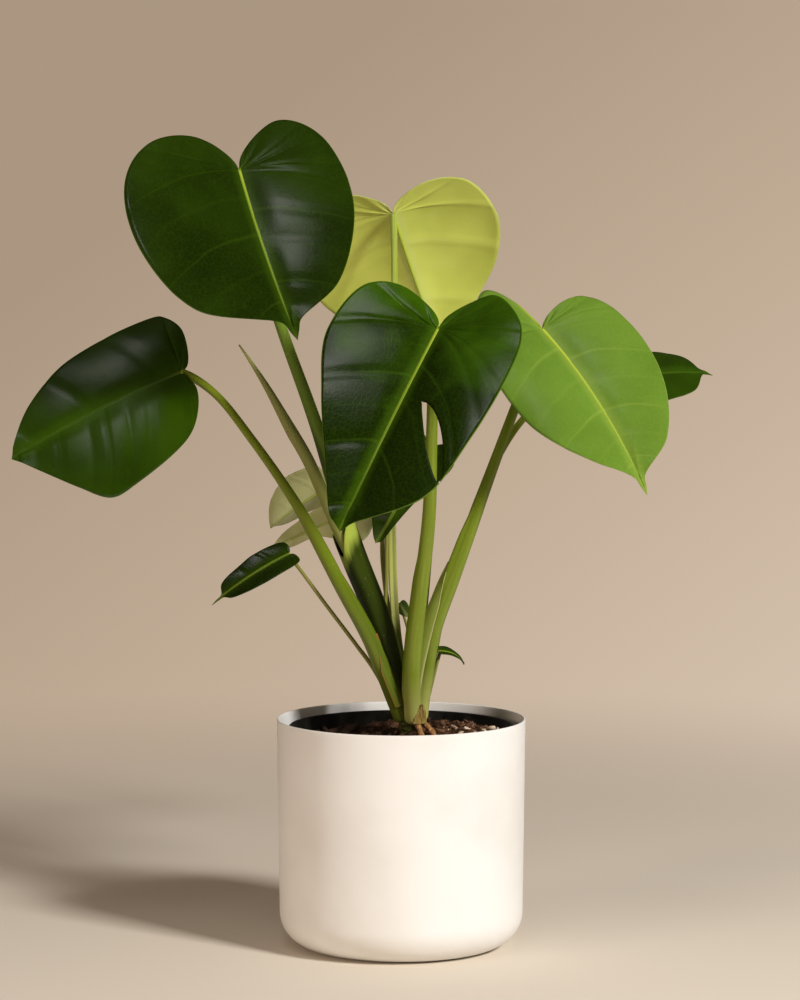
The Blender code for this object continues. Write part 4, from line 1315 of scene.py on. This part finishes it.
    def rib_line(self, shares: Array) -> Array:
        """Points on the rib at shares of its length.

        Args:
            shares: 0 at the stalk to 1 at the tip.

        Returns:
            One point per share.
        """
        y = shares * self.rib_length()
        zero = np.zeros_like(y)
        return self.bend(self.left, 1, zero, y, zero)

    def build_rib(self) -> Piece:
        """A tube that tapers as a power of what is left of the blade, sunk into the valley between the halves.

        Returns:
            The rib.
        """
        shares = np.linspace(0.0, 0.965, 70)
        radius = self.rib_mm * MM * (0.16 + 0.84 * (1 - shares) ** 0.9)
        normal = self.turned() @ np.array([0, 0, 1.0])
        path = self.rib_line(shares) - normal * (radius * 0.30)[:, None]
        points, quads, pairs = tube(path, radius, normal, 14)
        return make_piece(self.name + "_rib", points, quads, [self.rib_skin.material()],
                          maps={"run": pairs})

    def stalk_path(self, crown: Crown, shares: Array) -> Array:
        """From the side of the stem's neck, which the stalk's foot clasps, a smooth run up to the blade.

        Args:
            crown: the crown that it grows from.
            shares: shares 0 to 1 of its length.

        Returns:
            One point per share.
        """
        normal = self.turned() @ np.array([0, 0, 1.0])
        end = above_soil(self.attach) - normal * self.stalk_radii[-1] * MM * 0.55
        return even_points([crown.foot_of(self.lean), *above_soil(self.stalk), end], shares)

    def build_stalk(self, crown: Crown) -> Piece:
        """A ring with a channel on its inner side, between two sheath wings that fade out on the way up, and a
        swollen joint under the blade. Channel and wings are bell curves of the angle.

        Args:
            crown: the crown that it grows from.

        Returns:
            The stalk.
        """
        shares = np.linspace(0, 1, 110)
        path = self.stalk_path(crown, shares)
        climb = length_of(path) / length_of(path)[-1]
        knots = np.stack([np.linspace(0, 1, len(self.stalk_radii)), np.array(self.stalk_radii)], 1)
        smooth = spline(knots, np.linspace(0, 1, 200))
        radius = np.interp(climb, smooth[:, 0], smooth[:, 1]) * MM
        joint = smoothstep(0.90, 0.97, climb) * (1 - 0.3 * smoothstep(0.985, 1.0, climb))
        radius = radius * (1 + 0.10 * joint)
        sides = 36
        turn = np.abs((np.linspace(0, 2 * pi, sides + 1) + pi) % (2 * pi) - pi)
        foot = smoothstep(0.0, 0.05, climb)
        sheath = (foot * (1 - smoothstep(self.wing_top - 0.10, self.wing_top, climb)))[:, None]
        channel = (0.10 + 0.28 * sheath) * np.exp(-(turn / 0.42) ** 2)
        wings = self.wing * 2.2 * sheath * np.exp(-(((turn - 0.80) / 0.17) ** 2))
        keep = (foot * (1 - smoothstep(0.88, 0.95, climb)))[:, None]
        section = 1 + (wings - channel) * keep
        outward = np.array([self.attach[0], self.attach[1], 0.0]) / 1000
        reference = unit(-outward + np.array([0, 0, 0.02]))
        points, quads, pairs = tube(path, radius, reference, sides, section)
        return make_piece(self.name + "_stalk", points, quads, [self.stalk_skin.material()],
                          [self.name + "_petiole"], {"run": pairs})

    def build(self, crown: Crown) -> list[Piece]:
        """Builds the blade, its rib and its stalk."""
        return [self.build_blade(), self.build_rib(), self.build_stalk(crown)]


@dataclass
class RolledLeaf:
    """The newest leaf: a stalk that swells into a tight roll and runs out to a point."""

    lean: tuple[float, float] = (-10, -8)
    route: tuple[tuple[float, float, float], ...] = (
        (-8, -7, 56), (-20, -9, 92), (-33, -10, 124), (-45, -10, 150), (-68, -10, 204), (-81, -10, 227),
        (-100, -12, 261), (-119, -14, 290))
    radii: tuple[float, ...] = (3.0, 3.2, 4.4, 4.4, 0.6)
    overlap: float = 0.16  # how far the roll's free edge stands off, as a share of its radius
    twist: float = 2.2  # radians that the free edge winds over the roll
    skin: StalkSkin = SPEAR_SKIN

    def build(self, crown: Crown) -> Piece:
        """A tube whose radius grows with the angle from its seam, and the seam winds as it climbs.

        Args:
            crown: the crown that it grows from.

        Returns:
            The rolled leaf and its stalk, as one piece.
        """
        path = even_points([crown.foot_of(self.lean), *above_soil(self.route)], np.linspace(0, 1, 120))
        climb = length_of(path) / length_of(path)[-1]
        radius = np.interp(climb, np.linspace(0, 1, len(self.radii)), self.radii) * MM
        sides = 44
        turn = np.linspace(0, 2 * pi, sides + 1)
        rolled = smoothstep(0.22, 0.34, climb)
        phase = (turn[None] - self.twist * climb[:, None] - 0.9) % (2 * pi) / (2 * pi)
        ridge = phase * smoothstep(0.0, 0.08, 1 - phase)
        section = 1 + self.overlap * (ridge - 0.5) * rolled[:, None]
        points, quads, pairs = tube(path, radius, np.array([0.0, 1.0, 0.0]), sides, section)
        return make_piece("rolled_leaf_spear", points, quads, [self.skin.material()], ["rolled_leaf"],
                          {"run": pairs})


@dataclass
class Sheath:
    """The thin free part of a stalk's sheath: a sheet bent round a path, narrowing towards its end."""

    name: str
    path: tuple[tuple[float, float, float], ...]  # millimetres from the middle of the soil's surface
    radii: tuple[float, ...]  # to its left and right, along the path
    depths: tuple[float, ...]  # to its front and back
    facing: float  # degrees from the front towards +X that the sheet's middle looks in
    reach: tuple[float, ...]  # degrees to each side of the middle, along the path
    skin: StalkSkin
    dip: tuple[float, float, float] = (0.0, 30.0, 0.0)  # where the top edge sinks, how widely and how deep

    def build(self) -> Piece:
        """Angle runs across the sheet and height along it. The radius swells a little at both free edges.

        Returns:
            The sheath.
        """
        across, up = np.meshgrid(np.linspace(-1, 1, 49), np.linspace(0, 1, 80))
        even = np.linspace(0, 1, len(self.reach))
        turn = np.radians(self.facing + across * np.interp(up, even, self.reach))
        sunk = self.dip[2] * np.exp(-(((np.degrees(turn) - self.dip[0]) / self.dip[1]) ** 2))
        climb = np.clip(up * (1 - sunk), 0, 1)
        knots = above_soil(self.path)
        spine = even_points(knots, climb.ravel()).reshape(*climb.shape, 3)
        flare = 1 + 0.07 * np.abs(across) ** 6 + 0.10 * up**8
        wide = np.interp(climb, np.linspace(0, 1, len(self.radii)), self.radii) * MM * flare
        deep = np.interp(climb, np.linspace(0, 1, len(self.depths)), self.depths) * MM * flare
        points = spine + np.stack([wide * np.sin(turn), -deep * np.cos(turn), 0.25 * wide * np.sin(turn)], -1)
        pairs = np.stack([(across + 1) / 2, climb * length_of(knots)[-1]], -1)
        sheet = np.stack([across, up], -1)
        piece = make_piece(self.name, points.reshape(-1, 3), grid_quads(*across.shape), [self.skin.material()],
                           maps={"run": pairs.reshape(-1, 2), "sheet": sheet.reshape(-1, 2)}, closed=False)
        add_thickness(piece, SHEATH_WALL, 0)
        return piece


def grown_sheaths() -> list[Sheath]:
    """The sheaths whose free edges stand off their stalks.

    Returns:
        The three sheaths.
    """
    return [
        Sheath("high_left_sheath", ((0, -1, 22), (-6, 0, 52), (-19, 0, 92), (-34, -1, 130), (-44, -2, 158)),
               (6.5, 8.0, 8.8, 9.0, 8.6), (10.0, 13.0, 14.5, 14.0, 13.0), -10, (150, 165, 165, 165, 165), SHEATH_DARK,
               dip=(-50.0, 45.0, 0.17)),
        Sheath("right_sheath", ((10, -4, 30), (16, -8, 60), (27, -11, 95), (41, -13, 132)),
               (6.6, 8.4, 8.6, 6.0), (6.0, 7.0, 7.0, 6.0), -62, (95, 80, 62, 10), SHEATH_PAPER),
        Sheath("far_left_sheath", ((-2, -9, 22), (-14, -13, 50), (-24, -17, 76)),
               (6.0, 6.4, 5.3), (6.0, 6.3, 5.3), 70, (90, 80, 12), SHEATH_BROWN),
    ]


def grown_leaves() -> list[Leaf]:
    """The twelve open leaves, from the highest at the left to the smallest at the foot.

    Returns:
        The leaves.
    """
    small = Half(36, 0.12, 0.40, 0.25, 0.96, 0.66, 10, -34, sinus=(0.07, 0.30), drip=(0.09, 0.10))
    tiny = Half(5, 0.10, 0.40, 0.25, 0.92, 0.60, 12, -20)
    curled = Half(8, 0.10, 0.40, 0.25, 0.92, 0.60, 18, -20)
    return [
        Leaf("high_left", (-118, -20, 417), (-74, -85, 296), (0.35, -1.0, 0.50), 14, -12,
             Half(96, 0.16, 0.28, 0.12, 1.03, 0.77, 23, -26, sinus=(0.07, 0.55), drip=(0.10, 0.09)),
             Half(76, 0.27, 0.47, 0.13, 0.90, 0.56, 23, -24, sinus=(0.09, 0.45), drip=(0.10, 0.09)),
             (-22, 16), [(-6, 8, 52), (-22, 9, 94), (-37, 7, 140), (-61, 0, 225), (-87, -4, 299), (-104, -6, 352)],
             (4.4, 5.8, 4.4, 3.2), DARK_SKIN, STALK_DARK, RIB_DARK_SKIN, veins=6, wing=0.34, wing_top=0.52),
        Leaf("back", (-6, 70, 386), (37, 125, 265), (0.0, 1.0, 0.43), 29, 7,
             Half(76, 0.13, 0.36, 0.19, 0.85, 0.35, 17, -26), Half(77, 0.17, 0.36, 0.36, 0.91, 0.45, 14, -24),
             (5, 24), [(0, 15, 50), (-5, 22, 91), (-7, 34, 161), (-6, 48, 247), (-5, 58, 329)],
             (3.4, 3.0, 2.7, 2.3), LIT_SKIN, STALK_CREAM, RIB_SKIN, "young_leaf", veins=7),
        Leaf("front_split", (26, -85, 303), (-43, -155, 165), (-0.35, -1.0, 0.75), 14, 4,
             Half(72, 0.13, 0.50, 0.19, 0.75, 0.38, 23, -10),
             Half(71, 0.19, 0.46, 0.0, 0.99, 0.79, 23, -29, vein_lean=1.1),
             (8, -34), [(8, -21, 44), (10, -28, 75), (14, -34, 110), (20, -45, 164), (22, -56, 223), (23, -66, 267)],
             (6.6, 5.6, 4.4, 3.2), FRONT_SKIN, STALK_GREEN, RIB_DARK_SKIN, veins=7, split=Slot(0.70, 0.33, 0.044),
             rows=160, columns=36),
        Leaf("right", (104, -10, 301), (177, -75, 184), (0.30, -1.0, 0.53), 22, 8,
             Half(57, 0.34, 0.27, 0.0, 1.03, 0.54, 23, -44, sinus=(0.02, 0.60), drip=(0.08, 0.09)),
             Half(54, 0.06, 0.39, 0.08, 1.0, 0.59, 23, -27, drip=(0.08, 0.09)),
             (40, -8), [(19, -6, 48), (24, -10, 79), (37, -12, 117), (57, -13, 172), (83, -10, 242), (96, -4, 276)],
             (4.4, 6.2, 4.2, 3.2), YOUNG_SKIN, STALK_GREEN, RIB_SKIN, "young_leaf", veins=7, wing=0.22,
             wing_top=0.55),
        Leaf("far_left", (-162, 0, 270), (-285, -30, 207), (0.05, -1.0, 0.55), 16, -4,
             Half(50, 0.10, 0.60, -0.03, 0.92, 0.58, 14, -30),
             Half(66, 0.02, 0.30, 0.52, 1.0, 0.72, 12, -30, corner=0.12), (-38, -14),
             [(-14, -13, 50), (-24, -17, 75), (-42, -20, 109), (-76, -14, 171), (-110, -6, 220), (-138, -1, 254)],
             (6.0, 5.6, 3.6, 2.8), PAINTED_LIGHT_SIDE_SKIN, STALK_OLIVE, RIB_DEEP_SKIN, veins=6, wing=0.2, wing_top=0.42),
        Leaf("far_right", (152, 90, 254), (239, 100, 263), (0.0, -0.6, 1.0), 34, 0, small, small,
             (30, 24), [(22, 13, 49), (29, 22, 83), (46, 36, 134), (72, 55, 201), (98, 72, 236), (125, 84, 249)],
             (3.4, 3.2, 2.8, 2.2), PAINTED_LIGHT_SIDE_SKIN, STALK_OLIVE, RIB_DEEP_SKIN, veins=6, rib_mm=1.1, rows=80, columns=20),
        Leaf("low_left", (-83, -20, 136), (-139, -35, 100), (-0.30, -0.8, 0.60), 24, 0,
             Half(13, 0.05, 0.40, 0.32, 0.92, 0.58, 26, -20, drip=(0.11, 0.15)),
             Half(17, 0.05, 0.40, 0.32, 0.92, 0.58, 26, -20, drip=(0.11, 0.15)),
             (-50, 8), [(-20, 0, 48), (-32, -1, 65), (-59, -8, 102), (-73, -13, 122)],
             (1.8, 1.6, 1.5, 1.3), DARK_SKIN, STALK_THIN, RIB_DEEP_SKIN, veins=5, panel_mm=0.5, wave_mm=0.4,
             rib_mm=0.6, rows=60, columns=16),
        Leaf("back_left_upper", (-55, 50, 180), (-99, 55, 149), (-0.30, 1.0, 0.30), 30, 0,
             Half(15, 0.10, 0.40, 0.25, 0.92, 0.62, 40, -30), Half(28, 0.10, 0.40, 0.25, 0.92, 0.60, 8, -30),
             (-8, 42), [(-5, 22, 52), (-10, 31, 90), (-14, 38, 127), (-15, 42, 160), (-22, 45, 186), (-39, 46, 194)],
             (1.9, 1.8, 1.6, 1.4), PALE_SKIN, STALK_THIN, RIB_SKIN, veins=5, panel_mm=0.5, wave_mm=0.5,
             rib_mm=0.7, rows=60, columns=16),
        Leaf("back_left_lower", (-38, 30, 164), (-98, 45, 135), (0.0, 1.0, -0.20), 20, 0,
             Half(24, 0.20, 0.45, 0.06, 0.28, 0.24, 14, -20), Half(17, 0.10, 0.40, 0.20, 0.90, 0.60, 40, -20),
             (-30, 38), [(-10, 17, 48), (-12, 22, 75), (-11, 24, 128), (-13, 23, 158), (-24, 24, 169)],
             (1.9, 1.8, 1.6, 1.4), PALE_SKIN, STALK_THIN, RIB_SKIN, veins=5, panel_mm=0.5, wave_mm=0.5,
             rib_mm=0.7, rows=60, columns=16),
        Leaf("middle", (20, 0, 211), (-19, -15, 144), (0.30, -1.0, 0.30), 20, 0,
             Half(28, 0.12, 0.40, 0.20, 0.90, 0.50, 16, -30), Half(22, 0.14, 0.45, 0.0, 0.46, 0.24, 16, -30),
             (16, 2), [(13, 2, 50), (17, 7, 92), (21, 12, 137), (24, 13, 181)],
             (3.0, 2.7, 2.4, 2.0), DARK_SKIN, STALK_GREEN, RIB_DEEP_SKIN, veins=5, panel_mm=0.5, wave_mm=0.4,
             rib_mm=0.9, rows=70, columns=18),
        Leaf("tiny", (-1, 33, 94), (5, 32, 84), (0.0, -1.0, 0.4), 20, 0, tiny, tiny,
             (14, 44), [(8, 22, 50), (6, 32, 70), (1, 38, 87)],
             (1.5, 1.3, 1.1, 0.9), PALE_SKIN, STALK_THIN, RIB_SKIN, veins=4, panel_mm=0.2, wave_mm=0.15,
             rib_mm=0.35, rows=40, columns=12),
        Leaf("low_right", (29, 6, 61), (47, 14, 50), (0.1, -0.3, 1.0), 60, 0, curled, curled,
             (50, 20), [(24, 5, 42)],
             (1.6, 1.4, 1.3, 1.1), DARK_SKIN, STALK_THIN, RIB_DEEP_SKIN, veins=4, panel_mm=0.2, wave_mm=0.2,
             rib_mm=0.4, rows=40, columns=12),
    ]


# ================================================================ studio
@dataclass
class Studio:
    """A pale floor that fades into a plain warm backdrop, a soft key light, a small light for gloss, a warm low
    side light and a weak fill. Places are in metres, the camera's pitch in degrees and its lens in millimetres."""

    floor: str = "#e4dacb"
    backdrop: tuple[tuple[float, str], ...] = ((0.0, "#ab9781"), (0.5, "#c2ad97"), (1.0, "#d8c5b1"))
    key_place: tuple[float, float, float] = (1.74, -1.78, 1.70)
    key_size: float = 0.52
    key_watts: float = 88.0
    over_place: tuple[float, float, float] = (-0.30, -1.15, 2.35)
    over_size: float = 0.55
    over_watts: float = 4.2
    side_place: tuple[float, float, float] = (-1.55, -1.25, 0.34)
    side_size: float = 0.6
    side_watts: float = 10.5
    fill: str = "#ffe6d0"
    fill_strength: float = 0.17
    fill_gloss: float = 0.03
    camera_place: tuple[float, float, float] = (-0.0009, -2.6, 0.536)
    camera_pitch: float = 4.47
    lens: float = 126.7

    def floor_material(self) -> Material:
        """Matt paper that thins out to nothing away from the object, so that the backdrop takes over.

        Returns:
            The material.
        """
        made, add = new_material("studio_paper")
        far = add("VectorMath", {0: add("TexCoord").outputs["Object"]}, operation="LENGTH")
        fade = add("MapRange", {"Value": far, "From Min": 0.45, "From Max": 1.5}, interpolation_type="SMOOTHSTEP")
        paper = add("BsdfPrincipled", {"Base Color": self.floor, "Roughness": 0.9, "Specular IOR Level": 0.1})
        mixed = add("MixShader", {0: fade, 1: paper, 2: add("BsdfTransparent")})
        add("OutputMaterial", {"Surface": mixed})
        return made

    def build_floor(self) -> Piece:
        """A flat disc of rings, 3.4 m across.

        Returns:
            The floor, which is attached to no body.
        """
        radius = np.linspace(0, 1, 24)[:, None] ** 2 * 1.7
        turn = np.linspace(0, 2 * pi, 65)
        points = np.stack([radius * np.cos(turn), radius * np.sin(turn), np.full((24, 65), -0.0003)], -1)
        mesh = bpy.data.meshes.new("studio_floor")
        mesh.from_pydata(points.reshape(-1, 3).tolist(), [], grid_quads(24, 65).tolist())
        floor = bpy.data.objects.new("studio_floor", mesh)
        bpy.context.scene.collection.objects.link(floor)
        mesh.materials.append(self.floor_material())
        return floor

    def light(self, name: str, place: tuple[float, float, float], target: tuple[float, float, float], size: float,
              watts: float, colour: str, gloss: bool) -> None:
        """Adds a square soft light.

        Args:
            name: what it is called.
            place: where it hangs, in metres.
            target: the point that it looks at.
            size: its side in metres.
            watts: its power.
            colour: its hex colour.
            gloss: whether it shows in glossy surfaces.
        """
        lamp = bpy.data.lights.new(name, "AREA")
        lamp.size = size
        lamp.energy = watts
        lamp.color = srgb(colour)[:3]
        obj = bpy.data.objects.new(name, lamp)
        obj.location = place
        obj.visible_glossy = gloss
        obj.rotation_euler = (Vector(target) - Vector(place)).to_track_quat("-Z", "Y").to_euler()
        bpy.context.scene.collection.objects.link(obj)

    def build_world(self) -> None:
        """The backdrop, which gets lighter downwards and to the right, and a warm even fill. The backdrop's gradient
        is painted shade, standing in for the light falling off and the plant's soft shadow on the wall. Gloss sees a
        darker room, as in a studio with one soft box."""
        world = bpy.data.worlds.new("studio")
        bpy.context.scene.world = world
        world.use_nodes = True
        tree = world.node_tree
        tree.nodes.clear()
        add = partial(add_node, tree)
        axes = add("SeparateXYZ", {0: add("TexCoord").outputs["Generated"]})
        # painted shade: the backdrop darkens upwards and to the left, for the light falling off and the plant's soft
        # shadow on the wall
        down = add("MapRange", {"Value": axes.outputs["Z"], "From Min": 0.06, "From Max": -0.18, "To Max": 0.78})
        across = add("Math", {0: axes.outputs["X"], 1: 2.4, 2: down}, operation="MULTIPLY_ADD")
        seen = add("Background", {"Color": add("ValToRGB", {"Fac": across}, self.backdrop), "Strength": 1.0})
        fill = add("Background", {"Color": self.fill, "Strength": self.fill_strength})
        dim = add("Background", {"Color": self.fill, "Strength": self.fill_gloss})
        path = add("LightPath")
        glossy = add("MixShader", {0: path.outputs["Is Glossy Ray"], 1: fill, 2: dim})
        mixed = add("MixShader", {0: path.outputs["Is Camera Ray"], 1: glossy, 2: seen})
        add("OutputWorld", {"Surface": mixed})

    def build_camera(self) -> None:
        """The camera, level with the leaves and looking slightly down."""
        data = bpy.data.cameras.new("camera")
        data.lens = self.lens
        data.sensor_width = 36.0
        camera = bpy.data.objects.new("camera", data)
        camera.location = self.camera_place
        camera.rotation_euler = (radians(90 - self.camera_pitch), 0, 0)
        bpy.context.scene.collection.objects.link(camera)
        bpy.context.scene.camera = camera

    def build(self) -> None:
        """Sets up the floor, the lights, the backdrop and the camera."""
        bpy.context.scene.view_settings.view_transform = "Standard"
        self.build_floor()
        self.build_world()
        self.light("key", self.key_place, (0.0, 0.0, 0.28), self.key_size, self.key_watts, "#fffcf8", gloss=False)
        self.light("over", self.over_place, (0.0, 0.0, 0.40), self.over_size, self.over_watts, "#fffdfa", gloss=True)
        self.light("side", self.side_place, (0.0, 0.0, 0.25), self.side_size, self.side_watts, self.fill, gloss=False)
        self.build_camera()


def main() -> None:
    """Builds every sub-assembly in order and reports each piece."""
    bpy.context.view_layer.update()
    crown = Crown()
    pieces: list[Piece] = [CoverPot().build(), NurseryPot().build(), *Soil().build(), *crown.build()]
    for leaf in grown_leaves():
        pieces += leaf.build(crown)
    pieces.append(RolledLeaf().build(crown))
    pieces += [sheath.build() for sheath in grown_sheaths()]
    for piece in pieces:
        stands_for = ", ".join(piece.get("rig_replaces", [])) or "added"
        log.info("%s: %d faces, %s", piece.name, len(piece.data.polygons), stands_for)
    Studio().build()


if __name__ == "__main__":
    main()
